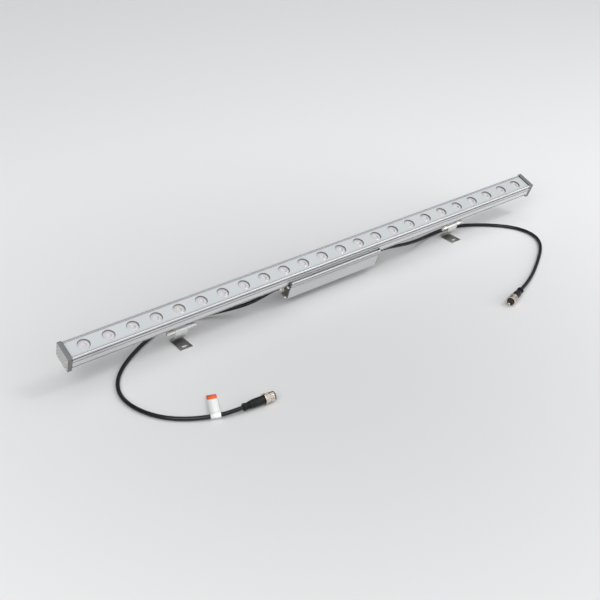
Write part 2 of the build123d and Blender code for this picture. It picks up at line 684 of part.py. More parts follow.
def hinge_washers():
    """The two washers of one hinge."""
    bore = BOLT_RADIUS + HINGE_CLEARANCE
    radius = WASHER_DIAMETER / 2
    left = ring_x(-CLIP_WIDTH / 2 - WASHER_THICKNESS, radius, bore, WASHER_THICKNESS)
    return [left, ring_x(CLIP_WIDTH / 2, radius, bore, WASHER_THICKNESS)]


def flat_hexagon(width):
    """A hexagon, measured across its flats, with two flats level."""
    return Rot(0, 0, 180 / HEX_SIDES) * RegularPolygon(width / 2, HEX_SIDES, major_radius=False)


def gland():
    """Cable gland along +Z from the end plate: hexagon base, domed nut, stub through the plate."""
    hexagon = extrude(flat_hexagon(GLAND_WIDTH), GLAND_BASE)
    nose = GLAND_BASE + GLAND_DOME_LENGTH
    dome = make_face(
        Polyline(
            (0, GLAND_BASE),
            (GLAND_DOME_DIAMETER / 2, GLAND_BASE),
            (GLAND_DOME_DIAMETER / 2, GLAND_BASE + GLAND_DOME_LENGTH / 2),
            (GLAND_NOSE_DIAMETER / 2, nose),
            (0, nose),
            close=True,
        )
    )
    stub = Pos(0, 0, -GLAND_STUB_LENGTH / 2) * Cylinder(GLAND_STUB_DIAMETER / 2, GLAND_STUB_LENGTH)
    seat = Pos(0, 0, nose) * Cylinder(CABLE_RADIUS + GLAND_CLEARANCE, 2 * GLAND_SEAT)
    return hexagon + revolve(Plane.XZ * dome, Axis.Z) + stub - seat


def gland_place(end):
    """The outer face of a driver end plate at its gland, Z outwards."""
    return Pos(end * DRIVER_LENGTH / 2, GLAND_OFFSET, -GLAND_DROP) * Rot(0, end * 90, 0)


def gland_lock_nut():
    """Hexagon lock nut on the inside of the end plate."""
    bore = Circle(GLAND_STUB_DIAMETER / 2 + GLAND_CLEARANCE)
    ring = flat_hexagon(GLAND_NUT_WIDTH) - bore
    return Pos(0, 0, -DRIVER_PLATE - GLAND_NUT_HEIGHT) * extrude(ring, GLAND_NUT_HEIGHT)


def gland_exit(end, run):
    """A point on a gland's axis, at a distance from where the cable starts at the bottom of its seat."""
    depth = GLAND_BASE + GLAND_DOME_LENGTH - GLAND_SEAT + run
    return tuple((BAR * gland_place(end) * Pos(0, 0, depth)).position)


def insert_start(length):
    """Where an insert stands on its body's spigot."""
    return length + COUPLING_END_GAP + COUPLING_SHOULDER + COUPLING_END_GAP


def cylinder_from(start, diameter, length):
    """A cylinder along Z that starts at a height."""
    return Pos(0, 0, start + length / 2) * Cylinder(diameter / 2, length)


def tube_from(start, outer, inner, length):
    """A ring along Z that starts at a height."""
    return cylinder_from(start, outer, length) - cylinder_from(start, inner, length)


def connector_body(length):
    """Moulded cable end: collar, ribbed neck, tapered grip and the spigot that the coupling turns on."""
    outline = [(0, 0), (COLLAR_DIAMETER / 2, 0), (COLLAR_DIAMETER / 2, COLLAR_LENGTH)]
    neck = NECK_DIAMETER / 2
    rib = NECK_RIB_DIAMETER / 2
    at = COLLAR_LENGTH
    for _ in range(NECK_RIBS):
        top = at + NECK_GAP
        outline += [(neck, at), (neck, top), (rib, top), (rib, top + NECK_RIB)]
        at = top + NECK_RIB
    grip = at + NECK_GAP
    end = insert_start(length)
    outline += [(neck, at), (neck, grip), (BODY_START_DIAMETER / 2, grip)]
    outline += [(BODY_DIAMETER / 2, grip + BODY_TAPER), (BODY_DIAMETER / 2, length)]
    outline += [(SPIGOT_DIAMETER / 2, length), (SPIGOT_DIAMETER / 2, end), (0, end)]
    return revolve(Plane.XZ * make_face(Polyline(*outline, close=True)), Axis.Z)


def grip_pad():
    """Raised pad on the plug's grip, turned up and forward."""
    rise = BODY_DIAMETER / 2 + PAD_RISE
    return Rot(0, 0, PAD_TURN) * Pos(-rise / 2, 0, PAD_PLACE) * Box(rise, PAD_WIDTH, PAD_LENGTH)


def coupling_nut(length, flange_in_front):
    """Coupling nut with two rows of flutes, free to turn on the spigot between body and insert."""
    back = length + COUPLING_END_GAP
    end = back + COUPLING_LENGTH
    flange = end - COUPLING_FLANGE_LENGTH if flange_in_front else back
    start = back if flange_in_front else back + COUPLING_FLANGE_LENGTH
    row = (COUPLING_LENGTH - COUPLING_FLANGE_LENGTH - COUPLING_GROOVE) / 2
    nut = cylinder_from(back, COUPLING_DIAMETER, COUPLING_LENGTH)
    nut += cylinder_from(flange, COUPLING_FLANGE_DIAMETER, COUPLING_FLANGE_LENGTH)
    nut -= cylinder_from(back, SPIGOT_DIAMETER + 2 * COUPLING_CLEARANCE, COUPLING_SHOULDER)
    nut -= cylinder_from(back + COUPLING_SHOULDER, COUPLING_BORE_DIAMETER, COUPLING_LENGTH)
    if flange_in_front:
        nut -= cylinder_from(end - MOUTH_LENGTH, MOUTH_DIAMETER, MOUTH_LENGTH)
    waist = COUPLING_DIAMETER - 2 * FLUTE_DEPTH
    nut -= tube_from(start + row, COUPLING_FLANGE_DIAMETER, waist, COUPLING_GROOVE)
    out = COUPLING_DIAMETER / 2 + FLUTE_DIAMETER / 2 - FLUTE_DEPTH
    step = 360 / FLUTE_COUNT
    flutes = []
    for i in range(FLUTE_COUNT):
        first = Pos(out, 0, 0) * cylinder_from(start, FLUTE_DIAMETER, row)
        second = Pos(out, 0, 0) * cylinder_from(start + row + COUPLING_GROOVE, FLUTE_DIAMETER, row)
        flutes += [Rot(0, 0, i * step) * first, Rot(0, 0, (i + 1 / 2) * step) * second]
    return nut - flutes


def contact_places():
    """Places of the contacts round the connector's axis."""
    return [Rot(0, 0, 360 * i / CONTACT_COUNT) * Pos(CONTACT_RADIUS, 0, 0) for i in range(CONTACT_COUNT)]


def socket_insert():
    """Insert of the socket, with contact holes and a key notch."""
    start = insert_start(SOCKET_BODY_LENGTH)
    flange = cylinder_from(start, INSERT_FLANGE_DIAMETER, INSERT_FLANGE_LENGTH)
    solid = flange + cylinder_from(start, INSERT_DIAMETER, INSERT_LENGTH)
    face = start + INSERT_LENGTH
    for place in contact_places():
        solid -= place * cylinder_from(face - CONTACT_DEPTH, CONTACT_DIAMETER, CONTACT_DEPTH)
    key = Box(KEY_WIDTH, 2 * KEY_DEPTH, 2 * SOCKET_SEAL_DEPTH)
    return solid - Pos(0, INSERT_DIAMETER / 2, face) * key


def socket_seal():
    """Seal ring round the socket's insert."""
    start = insert_start(SOCKET_BODY_LENGTH) + INSERT_LENGTH - SOCKET_SEAL_DEPTH - SOCKET_SEAL_LENGTH
    return tube_from(start, SOCKET_SEAL_DIAMETER, INSERT_DIAMETER, SOCKET_SEAL_LENGTH)


def socket_contacts():
    """Contact sleeves at the bottom of the insert's holes."""
    start = insert_start(SOCKET_BODY_LENGTH) + INSERT_LENGTH - CONTACT_DEPTH
    outer = CONTACT_DIAMETER - 2 * CONTACT_CLEARANCE
    sleeve = tube_from(start, outer, CONTACT_BORE_DIAMETER, CONTACT_DEPTH - KEY_DEPTH)
    return [place * sleeve for place in contact_places()]


def plug_insert():
    """Insert of the plug: a shell round the pins."""
    start = insert_start(PLUG_BODY_LENGTH)
    flange = cylinder_from(start, INSERT_FLANGE_DIAMETER, INSERT_FLANGE_LENGTH)
    shell = cylinder_from(start, SHELL_DIAMETER, SHELL_LENGTH)
    hollow = cylinder_from(start + SHELL_FLOOR, SHELL_DIAMETER - 2 * SHELL_WALL, SHELL_LENGTH)
    return flange + shell - hollow


def plug_seal():
    """Seal ring on the end of the plug's shell, in front of the nut."""
    start = insert_start(PLUG_BODY_LENGTH) + SHELL_LENGTH - PLUG_SEAL_LENGTH + COUPLING_END_GAP
    return tube_from(start, PLUG_SEAL_DIAMETER, SHELL_DIAMETER, PLUG_SEAL_LENGTH - COUPLING_END_GAP)


def plug_pins():
    """Contact pins on the floor of the plug's shell."""
    start = insert_start(PLUG_BODY_LENGTH) + SHELL_FLOOR
    pin = cylinder_from(start, PIN_DIAMETER, PIN_LENGTH)
    return [place * pin for place in contact_places()]


def cable_path(points):
    """Straight runs joined by the largest tangent arcs that the runs leave room for."""
    corners = [Vector(*p) for p in points]
    radii = []
    for before, at, after in zip(corners, corners[1:], corners[2:]):
        turn = radians((at - before).get_angle(after - at))
        run = min((at - before).length, (after - at).length)
        radii.append(ARC_SHARE * run / tan(turn / 2))
    return FilletPolyline(*corners, radius=radii), radii


def cable(name, points):
    """Cable tube along its path; prints its radii and how its volume compares with section times length."""
    path, radii = cable_path(points)
    profile = Plane(origin=path @ 0, z_dir=path % 0) * Circle(CABLE_RADIUS)
    tube = sweep(profile, path=path)
    share = tube.volume / (pi * CABLE_RADIUS**2 * path.length)
    print(name, "length", round(path.length, 1), "volume share", round(share, 4))
    print(name, "radii", [round(r) for r in radii])
    return path, tube


# Where the plug and the socket lie: the back of the collar and the way they point on the floor.
PLUG_START = (-321.5, -195.6, CONNECTOR_HEIGHT)
PLUG_HEADING = -4.2
SOCKET_START = (246.4, -214.5, CONNECTOR_HEIGHT)
SOCKET_HEADING = 199.5
PLUG = Pos(*PLUG_START) * Rot(0, 0, PLUG_HEADING) * Rot(0, 90, 0)
SOCKET = Pos(*SOCKET_START) * Rot(0, 0, SOCKET_HEADING) * Rot(0, 90, 0)

# Routes chosen by hand: out of the gland, down to the floor behind the feet, round in front of the bar.
LEFT_ROUTE = [
    gland_exit(-1, 0),
    gland_exit(-1, GLAND_RUN),
    (-140, 11.8, 28.8),
    (-164, 17.3, 21.2),
    (-190, 30.6, 14.4),
    (-218, 47.0, 8.0),
    (-252, 61.4, 3.9),
    (-288, 65.5, 3.3),
    (-325, 56.5, 3.3),
    (-365, 36.0, 3.3),
    (-405, 8.5, 3.3),
    (-431, -20.0, 3.3),
    (-445, -51.0, 3.3),
    (-446, -84.5, 3.3),
    (-436, -117.0, 3.3),
    (-419, -144.0, 3.4),
    (-397, -164.0, 3.9),
    (-375, -178.0, 4.9),
    (-353, -188.5, 6.2),
    tuple((PLUG * Pos(0, 0, -CONNECTOR_RUN)).position),
    PLUG_START,
]
RIGHT_ROUTE = [
    gland_exit(1, 0),
    gland_exit(1, GLAND_RUN),
    (147, 13.4, 29.2),
    (176, 17.2, 22.0),
    (205, 22.5, 14.8),
    (236, 30.5, 8.2),
    (266, 37.5, 4.2),
    (297, 41.0, 3.3),
    (325, 39.5, 3.3),
    (351, 32.0, 3.3),
    (373, 19.0, 3.3),
    (394, 2.5, 3.3),
    (414, -17.0, 3.3),
    (429, -39.0, 3.3),
    (436, -63.0, 3.3),
    (433, -89.0, 3.3),
    (419, -112.0, 3.3),
    (397, -132.0, 3.3),
    (366, -153.0, 3.3),
    (332, -174.0, 3.4),
    (303, -190.0, 4.6),
    (279, -201.5, 6.6),
    tuple((SOCKET * Pos(0, 0, -CONNECTOR_RUN)).position),
    SOCKET_START,
]


def cable_tag(path):
    """Paper flag folded round the left cable behind the plug, lying back on the floor."""
    at = path.position_at(path.length - TAG_FROM_PLUG, position_mode=PositionMode.LENGTH)
    way = path.tangent_at(path.length - TAG_FROM_PLUG, position_mode=PositionMode.LENGTH)
    inner = CABLE_RADIUS + TAG_ROOM
    outer = inner + TAG_THICKNESS
    loop = Circle(outer) - Circle(inner)
    flag = Pos(0, inner + TAG_LENGTH / 2) * Rectangle(2 * TAG_THICKNESS, TAG_LENGTH)
    flag -= Circle(inner)
    across = Vector(-way.Y, way.X, 0).normalized()
    lean = radians(-TAG_DROP)
    out = across * cos(lean) + Vector(0, 0, 1) * sin(lean)
    plane = Plane(origin=at, x_dir=out.cross(way), z_dir=way)
    return extrude(plane * (loop + flag), TAG_WIDTH / 2, both=True)


# Bar
keep("housing", BAR * housing())
keep("front_panel", BAR * front_panel())
keep("panel_gasket", BAR * panel_gasket())
keep("lens_tray", BAR * lens_tray())
keep("lenses", *[BAR * Pos(x, 0, 0) * lens() for x in lens_places()])
led = Box(LED_SIZE, LED_SIZE, LED_HEIGHT)
keep("leds", *[BAR * Pos(x, 0, -(LED_TOP + BOARD_TOP) / 2) * led for x in lens_places()])
for side, end in (("left", -1), ("right", 1)):
    keep(f"led_board_{side}", BAR * led_board(end))
    keep(f"end_cap_{side}", BAR * end_cap(end))
    keep(f"cap_gasket_{side}", BAR * cap_gasket(end))
cap_seat = BAR_LENGTH / 2 - CAP_SCREW_SINK
keep("end_cap_screws", *[BAR * s for s in end_screws(cap_screw_places(), cap_seat, CAP_SCREW_LENGTH)])

# Driver box
keep("driver_box", BAR * driver_box())
for side, end in (("left", -1), ("right", 1)):
    keep(f"driver_end_{side}", BAR * driver_end(end))
    keep(f"gland_{side}", BAR * gland_place(end) * gland())
keep("gland_lock_nuts", *[BAR * gland_place(end) * gland_lock_nut() for end in (-1, 1)])
box_screws = end_screws(driver_screw_places(), DRIVER_LENGTH / 2, DRIVER_SCREW_LENGTH)
keep("driver_end_screws", *[BAR * s for s in box_screws])
fixing = Rot(180, 0, 0) * screw(DRIVER_ROOF + UNDERSIDE_WALL + CHAMBER_HEIGHT / 2)
fixing_places = [Pos(end * DRIVER_FIXING_SPAN / 2, 0, -DRIVER_CEILING) for end in (-1, 1)]
keep("driver_box_screws", *[BAR * place * fixing for place in fixing_places])
keep("driver_board", BAR * driver_board())
transformer = Box(*TRANSFORMER_SIZE)
keep("driver_transformer", BAR * on_driver_board(TRANSFORMER_PLACE, transformer, TRANSFORMER_SIZE[2]))
capacitor = Cylinder(CAPACITOR_DIAMETER / 2, CAPACITOR_HEIGHT)
capacitor_places = [CAPACITOR_START + i * CAPACITOR_PITCH for i in range(CAPACITOR_COUNT)]
keep("driver_capacitors", *[BAR * on_driver_board(x, capacitor, CAPACITOR_HEIGHT) for x in capacitor_places])
keep("feed_wires", *[BAR * feed_wire(end) for end in (-1, 1)])

# Tilting brackets
clip_screw = Rot(180, 0, 0) * screw(CLIP_SCREW_LENGTH)
clip_seat = -HOUSING_DEPTH - STRIP
keep("clip_screws", *[BAR * Pos(x, y, clip_seat) * clip_screw for x, y in clip_screw_places()])
nuts = []
washers = []
for side, end in (("left", -1), ("right", 1)):
    place = Pos(end * FOOT_SPACING / 2, SLOT_TO_HINGE, HINGE_HEIGHT)
    hinge = place * Rot(TILT, 0, 0)
    keep(f"bracket_clip_{side}", hinge * clip())
    keep(f"hinge_bolt_{side}", hinge * hinge_bolt())
    keep(f"foot_{side}", place * foot())
    nuts.append(hinge * hinge_nut())
    washers += [hinge * washer for washer in hinge_washers()]
keep("hinge_nuts", *nuts)
keep("hinge_washers", *washers)

# Cables, plug and socket
left_path, left_cable = cable("cable_left", LEFT_ROUTE)
right_path, right_cable = cable("cable_right", RIGHT_ROUTE)
keep("cable_left", left_cable)
keep("cable_right", right_cable)
keep("cable_tag", cable_tag(left_path))
keep("plug_body", PLUG * (connector_body(PLUG_BODY_LENGTH) + grip_pad()))
keep("plug_nut", PLUG * coupling_nut(PLUG_BODY_LENGTH, False))
keep("plug_insert", PLUG * plug_insert())
keep("plug_seal", PLUG * plug_seal())
keep("plug_pins", *[PLUG * pin for pin in plug_pins()])
keep("socket_body", SOCKET * connector_body(SOCKET_BODY_LENGTH))
keep("socket_nut", SOCKET * coupling_nut(SOCKET_BODY_LENGTH, True))
keep("socket_insert", SOCKET * socket_insert())
keep("socket_seal", SOCKET * socket_seal())
keep("socket_contacts", *[SOCKET * sleeve for sleeve in socket_contacts()])
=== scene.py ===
import math

import bmesh
import bpy
from bpy.props import FloatProperty, FloatVectorProperty, IntProperty, PointerProperty
from mathutils import Matrix, Vector


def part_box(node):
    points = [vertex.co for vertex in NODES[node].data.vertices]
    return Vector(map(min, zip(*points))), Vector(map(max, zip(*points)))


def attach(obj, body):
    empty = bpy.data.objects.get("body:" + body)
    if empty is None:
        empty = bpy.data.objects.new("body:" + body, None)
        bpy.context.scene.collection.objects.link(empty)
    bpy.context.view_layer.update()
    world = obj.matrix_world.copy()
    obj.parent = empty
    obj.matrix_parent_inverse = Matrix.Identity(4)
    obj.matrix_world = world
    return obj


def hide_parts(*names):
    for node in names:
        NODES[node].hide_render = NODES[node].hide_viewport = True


bl_info = {
    "name": "Linear floodlight bar",
    "version": (1, 0, 0),
    "blender": (4, 5, 0),
    "location": "3D View > Sidebar > Floodlight",
    "description": "Dresses a packed floodlight bar with finishes, lenses, cables, a tag and a studio",
    "category": "Object",
}

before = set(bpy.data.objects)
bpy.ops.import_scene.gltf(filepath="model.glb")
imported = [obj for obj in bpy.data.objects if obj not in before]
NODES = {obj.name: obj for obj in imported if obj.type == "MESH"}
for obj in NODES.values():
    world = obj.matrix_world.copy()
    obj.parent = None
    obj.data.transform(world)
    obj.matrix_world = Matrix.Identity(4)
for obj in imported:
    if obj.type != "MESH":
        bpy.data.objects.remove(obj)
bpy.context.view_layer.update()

# The bar's own frame: the middle of the front panel's face, tilted about X.
BAR_TILT = math.radians(20.0)
PANEL_LOW, PANEL_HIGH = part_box("front_panel")
PANEL_THICKNESS = 0.0012
BAR = (
    Matrix.Translation((PANEL_LOW + PANEL_HIGH) / 2)
    @ Matrix.Rotation(BAR_TILT, 4, "X")
    @ Matrix.Translation((0, 0, PANEL_THICKNESS / 2))
)

# Cable routes, the control points of each cable's curve, from the gland to the connector.
LEFT_ROUTE = [
    (-0.104, 0.011567, 0.033264),
    (-0.118, 0.011567, 0.033264),
    (-0.140, 0.0118, 0.0288),
    (-0.164, 0.0173, 0.0212),
    (-0.190, 0.0306, 0.0144),
    (-0.218, 0.0470, 0.0080),
    (-0.252, 0.0614, 0.0039),
    (-0.288, 0.0655, 0.0033),
    (-0.325, 0.0565, 0.0033),
    (-0.365, 0.0360, 0.0033),
    (-0.405, 0.0085, 0.0033),
    (-0.431, -0.0200, 0.0033),
    (-0.445, -0.0510, 0.0033),
    (-0.446, -0.0845, 0.0033),
    (-0.436, -0.1170, 0.0033),
    (-0.419, -0.1440, 0.0034),
    (-0.397, -0.1640, 0.0039),
    (-0.375, -0.1780, 0.0049),
    (-0.353, -0.1885, 0.0062),
    (-0.33646, -0.194501, 0.0087),
    (-0.3215, -0.1956, 0.0087),
]
RIGHT_ROUTE = [
    (0.104, 0.011567, 0.033264),
    (0.118, 0.011567, 0.033264),
    (0.147, 0.0134, 0.0292),
    (0.176, 0.0172, 0.0220),
    (0.205, 0.0225, 0.0148),
    (0.236, 0.0305, 0.0082),
    (0.266, 0.0375, 0.0042),
    (0.297, 0.0410, 0.0033),
    (0.325, 0.0395, 0.0033),
    (0.351, 0.0320, 0.0033),
    (0.373, 0.0190, 0.0033),
    (0.394, 0.0025, 0.0033),
    (0.414, -0.0170, 0.0033),
    (0.429, -0.0390, 0.0033),
    (0.436, -0.0630, 0.0033),
    (0.433, -0.0890, 0.0033),
    (0.419, -0.1120, 0.0033),
    (0.397, -0.1320, 0.0033),
    (0.366, -0.1530, 0.0033),
    (0.332, -0.1740, 0.0034),
    (0.303, -0.1900, 0.0046),
    (0.279, -0.2015, 0.0066),
    (0.26054, -0.209493, 0.0087),
    (0.2464, -0.2145, 0.0087),
]

# Points of a lens face, from the outside in. The crown's shares are of the ring between rim and dimple, and
# its fall grows with a power of them. The dimple's shares are of its radius, and so is its rounded wall.
LENS_SEGMENTS = 40
CROWN_SHARES = (1.0, 0.8, 0.6, 0.4, 0.2)
CROWN_POWER = 1.2
DIMPLE_SHARES = (1.0, 0.94, 0.86, 0.78, 0.66, 0.45, 0.22)
DIMPLE_WALL = 0.34

# Steps of the tag's paper along its flag, its fold and its band, and how far its layers lie apart
# in paper thicknesses.
TAG_FLAG_STEPS = 8
TAG_FOLD_STEPS = 28
TAG_BAND_STEPS = 2
TAG_LAYER_GAP = 1.02

# Grain without a direction, as a stretch for the finishes.
EVEN = (1.0, 1.0, 1.0)


class FloodlightStage(bpy.types.PropertyGroup):
    """Studio: floor, room light, lamps and camera."""

    floor_colour: FloatVectorProperty(
        name="Floor colour", description="Pale studio floor", subtype="COLOR", default=(0.90, 0.902, 0.906)
    )
    # Painted shade: the floor is coloured darker round the bar, standing in for light that falls off there.
    floor_painted_shade: FloatVectorProperty(
        name="Floor middle", description="Floor in front of the bar, a little darker", subtype="COLOR",
        default=(0.66, 0.662, 0.665),
    )
    floor_shade_centre: FloatVectorProperty(
        name="Floor centre", description="Where the floor is darkest", subtype="TRANSLATION",
        default=(-0.20, -0.25, 0.0),
    )
    floor_size: FloatProperty(
        name="Floor size", description="Half the width of the floor", default=9.0, unit="LENGTH"
    )
    floor_spread: FloatProperty(
        name="Floor spread", description="Distance over which the floor turns paler",
        default=1.1, unit="LENGTH",
    )
    room_strength: FloatProperty(
        name="Room light", description="Light of the room at its brightest", default=1.0, min=0.0
    )
    room_colour: FloatVectorProperty(
        name="Room colour", description="Colour of the room's bright side", subtype="COLOR",
        default=(0.985, 0.99, 1.0),
    )
    room_dim: FloatProperty(
        name="Room dimness", description="Brightness of the room's dim side against its bright one",
        default=0.12,
    )
    room_pole: FloatVectorProperty(
        name="Room pole", description="Way to the brightest part of the room", subtype="XYZ",
        default=(0.22, -0.45, 0.85),
    )
    room_bright: FloatProperty(
        name="Bright edge", description="Angle round the pole that is bright", default=math.radians(38.0),
        subtype="ANGLE",
    )
    room_edge: FloatProperty(
        name="Dim edge", description="Angle from the pole where the room is dim",
        default=math.radians(72.0), subtype="ANGLE",
    )
    key_energy: FloatProperty(
        name="Key lamp", description="Large soft lamp at the viewer's left",
        default=31.0, min=0.0, unit="POWER",
    )
    key_size: FloatProperty(
        name="Key size", description="Width of the key lamp", default=1.7, unit="LENGTH"
    )
    key_place: FloatVectorProperty(
        name="Key place", description="Where the key lamp hangs",
        subtype="TRANSLATION", default=(-1.9, -1.4, 1.9),
    )
    fill_energy: FloatProperty(
        name="Fill lamp", description="High soft lamp at the viewer's right",
        default=20.0, min=0.0, unit="POWER",
    )
    fill_size: FloatProperty(
        name="Fill size", description="Width of the fill lamp", default=0.9, unit="LENGTH"
    )
    fill_place: FloatVectorProperty(
        name="Fill place", description="Where the fill lamp hangs",
        subtype="TRANSLATION", default=(1.8, -1.3, 2.7),
    )
    end_energy: FloatProperty(
        name="End lamp", description="Low soft lamp in front, off the right end",
        default=8.0, min=0.0, unit="POWER",
    )
    end_size: FloatProperty(
        name="End size", description="Width of the end lamp", default=1.0, unit="LENGTH"
    )
    end_place: FloatVectorProperty(
        name="End place", description="Where the end lamp hangs",
        subtype="TRANSLATION", default=(1.5, -1.7, 0.75),
    )
    camera_place: FloatVectorProperty(
        name="Camera place", description="Where the camera stands", subtype="TRANSLATION",
        default=(-0.90945, -1.10044, 0.84080),
    )
    camera_turn: FloatProperty(
        name="Camera turn", description="Heading from +Y towards +X",
        default=math.radians(37.3338), subtype="ANGLE",
    )
    camera_dip: FloatProperty(
        name="Camera dip", description="Angle below the horizon",
        default=math.radians(31.2197), subtype="ANGLE",
    )
    camera_lens: FloatProperty(
        name="Camera lens", description="Focal length in millimetres on a 36 mm sensor", default=56.5895
    )


class FloodlightSizes(bpy.types.PropertyGroup):
    """Sizes of the pieces made here."""

    lens_count: IntProperty(name="Lenses", description="Lenses in the row", default=24, min=1)
    lens_pitch: FloatProperty(
        name="Lens pitch", description="Distance between lenses", default=0.0405, unit="LENGTH"
    )
    lens_radius: FloatProperty(
        name="Lens radius", description="Outer radius of a lens", default=0.0099, unit="LENGTH"
    )
    lens_recess: FloatProperty(
        name="Lens recess", description="Depth of the lens face below the panel",
        default=0.0010, unit="LENGTH",
    )
    lens_rim: FloatProperty(
        name="Lens rim", description="Height of the lens rim", default=0.0016, unit="LENGTH"
    )
    lens_edge: FloatProperty(
        name="Lens edge", description="Rounding of the lens rim", default=0.0005, unit="LENGTH"
    )
    lens_foot_radius: FloatProperty(
        name="Lens foot radius", description="Radius of the cone where it stands on its LED",
        default=0.0042, unit="LENGTH",
    )
    lens_foot_depth: FloatProperty(
        name="Lens foot depth", description="Depth of the cone's foot below the panel",
        default=0.0135, unit="LENGTH",
    )
    lens_crown: FloatProperty(
        name="Lens crown", description="Fall of the lens face from its dimple to its rim", default=0.0013,
        unit="LENGTH",
    )
    dimple_radius: FloatProperty(
        name="Dimple radius", description="Radius of the dimple in a lens face",
        default=0.0047, unit="LENGTH",
    )
    dimple_depth: FloatProperty(
        name="Dimple depth", description="Depth of the dimple in a lens face", default=0.0018, unit="LENGTH"
    )
    cable_diameter: FloatProperty(
        name="Cable diameter", description="Outer diameter of the cables", default=0.0065, unit="LENGTH"
    )
    cable_left_length: FloatProperty(
        name="Left cable length", description="From its gland to the plug", default=0.612, unit="LENGTH"
    )
    cable_right_length: FloatProperty(
        name="Right cable length", description="From its gland to the socket", default=0.639, unit="LENGTH"
    )
    tag_length: FloatProperty(
        name="Tag length", description="Length of the flag beyond its fold", default=0.0520, unit="LENGTH"
    )
    tag_width: FloatProperty(
        name="Tag width", description="Width of the flag along the cable", default=0.0150, unit="LENGTH"
    )
    tag_paper: FloatProperty(
        name="Tag paper", description="Thickness of one layer of the tag", default=0.0004, unit="LENGTH"
    )
    tag_room: FloatProperty(
        name="Tag room", description="Gap between the tag's fold and the cable",
        default=0.00035, unit="LENGTH",
    )
    tag_drop: FloatProperty(
        name="Tag drop", description="Angle at which the flag lies down to the floor",
        default=math.radians(4.6), subtype="ANGLE",
    )
    tag_bow: FloatProperty(
        name="Tag bow", description="Rise of the flag's middle", default=0.0007, unit="LENGTH"
    )
    tag_band: FloatProperty(
        name="Tag band", description="Width of the orange band at the flag's end",
        default=0.0130, unit="LENGTH",
    )


class FloodlightColours(bpy.types.PropertyGroup):
    """Colours of the finishes."""

    aluminium: FloatVectorProperty(
        name="Aluminium", description="Anodised bar", subtype="COLOR", default=(0.72, 0.725, 0.735)
    )
    box_aluminium: FloatVectorProperty(
        name="Box aluminium", description="Duller anodised driver box", subtype="COLOR",
        default=(0.64, 0.645, 0.655),
    )
    panel: FloatVectorProperty(
        name="Panel", description="Pale blue-grey front panel",
        subtype="COLOR", default=(0.555, 0.583, 0.602),
    )
    cap: FloatVectorProperty(
        name="End caps", description="Grey moulded end caps", subtype="COLOR", default=(0.175, 0.175, 0.177)
    )
    # Painted light: the caps' outer faces are coloured paler than their sides, standing in for the light
    # that falls on them.
    cap_face_painted_light: FloatVectorProperty(
        name="Cap faces", description="Paler satin outer faces of the end caps", subtype="COLOR",
        default=(0.53, 0.525, 0.52),
    )
    end_plate: FloatVectorProperty(
        name="End plates", description="Dark plates of the driver box",
        subtype="COLOR", default=(0.17, 0.168, 0.172),
    )
    steel: FloatVectorProperty(
        name="Steel", description="Stainless strip of the clips and feet",
        subtype="COLOR", default=(0.80, 0.795, 0.785),
    )
    # Painted reflection: the plates are coloured darker to stand in for the dark reflection they pick up.
    foot_plate_painted_shade: FloatVectorProperty(
        name="Foot plates", description="Darker mill finish of the plates on the floor", subtype="COLOR",
        default=(0.42, 0.417, 0.413),
    )
    hardware: FloatVectorProperty(
        name="Hardware", description="Screws, bolts, nuts, washers and glands",
        subtype="COLOR", default=(0.88, 0.83, 0.76),
    )
    nickel: FloatVectorProperty(
        name="Nickel", description="Plated coupling nuts", subtype="COLOR", default=(0.72, 0.65, 0.57)
    )
    rubber: FloatVectorProperty(
        name="Rubber", description="Black cables and mouldings",
        subtype="COLOR", default=(0.009, 0.009, 0.010),
    )
    bronze: FloatVectorProperty(
        name="Lens tray", description="Bronze tray behind the panel",
        subtype="COLOR", default=(0.31, 0.26, 0.21),
    )
    lens: FloatVectorProperty(
        name="Lens", description="Pale optical moulding", subtype="COLOR", default=(0.56, 0.55, 0.568)
    )
    insert: FloatVectorProperty(
        name="Socket insert", description="Dark insert round the contacts",
        subtype="COLOR", default=(0.03, 0.028, 0.028),
    )
    copper: FloatVectorProperty(
        name="Contacts", description="Copper-coloured contacts", subtype="COLOR", default=(0.75, 0.36, 0.16)
    )
    seal: FloatVectorProperty(
        name="Socket seal", description="Red seal ring in the socket",
        subtype="COLOR", default=(0.42, 0.05, 0.035),
    )
    board_mask: FloatVectorProperty(
        name="LED boards", description="White mask of the LED boards",
        subtype="COLOR", default=(0.7, 0.7, 0.68),
    )
    led_phosphor: FloatVectorProperty(
        name="LEDs", description="Yellow phosphor of the LEDs", subtype="COLOR", default=(0.75, 0.6, 0.15)
    )
    board_green: FloatVectorProperty(
        name="Driver board", description="Green mask of the driver board",
        subtype="COLOR", default=(0.02, 0.16, 0.05),
    )
    winding_tape: FloatVectorProperty(
        name="Winding tape", description="Amber tape round the transformer",
        subtype="COLOR", default=(0.5, 0.33, 0.08),
    )
    capacitor_sleeve: FloatVectorProperty(
        name="Capacitor sleeve", description="Black sleeve of the capacitors",
        subtype="COLOR", default=(0.02, 0.02, 0.025),
    )
    lead_red: FloatVectorProperty(
        name="Feed wires", description="Red wires to the LED boards",
        subtype="COLOR", default=(0.35, 0.02, 0.015),
    )
    paper: FloatVectorProperty(
        name="Tag paper", description="White label paper", subtype="COLOR", default=(0.92, 0.92, 0.915)
    )
    band: FloatVectorProperty(
        name="Tag band", description="Plain orange band on the tag",
        subtype="COLOR", default=(0.98, 0.16, 0.035),
    )


def new_finish(name, colour, roughness, metallic=0.0):
    """A material with a Principled shader; returns the material, its nodes and the shader."""
    material = bpy.data.materials.new(name)
    material.use_nodes = True
    tree = material.node_tree
    shader = tree.nodes["Principled BSDF"]
    shader.inputs["Base Color"].default_value = (*colour, 1.0)
    shader.inputs["Roughness"].default_value = roughness
    shader.inputs["Metallic"].default_value = metallic
    return material, tree, shader


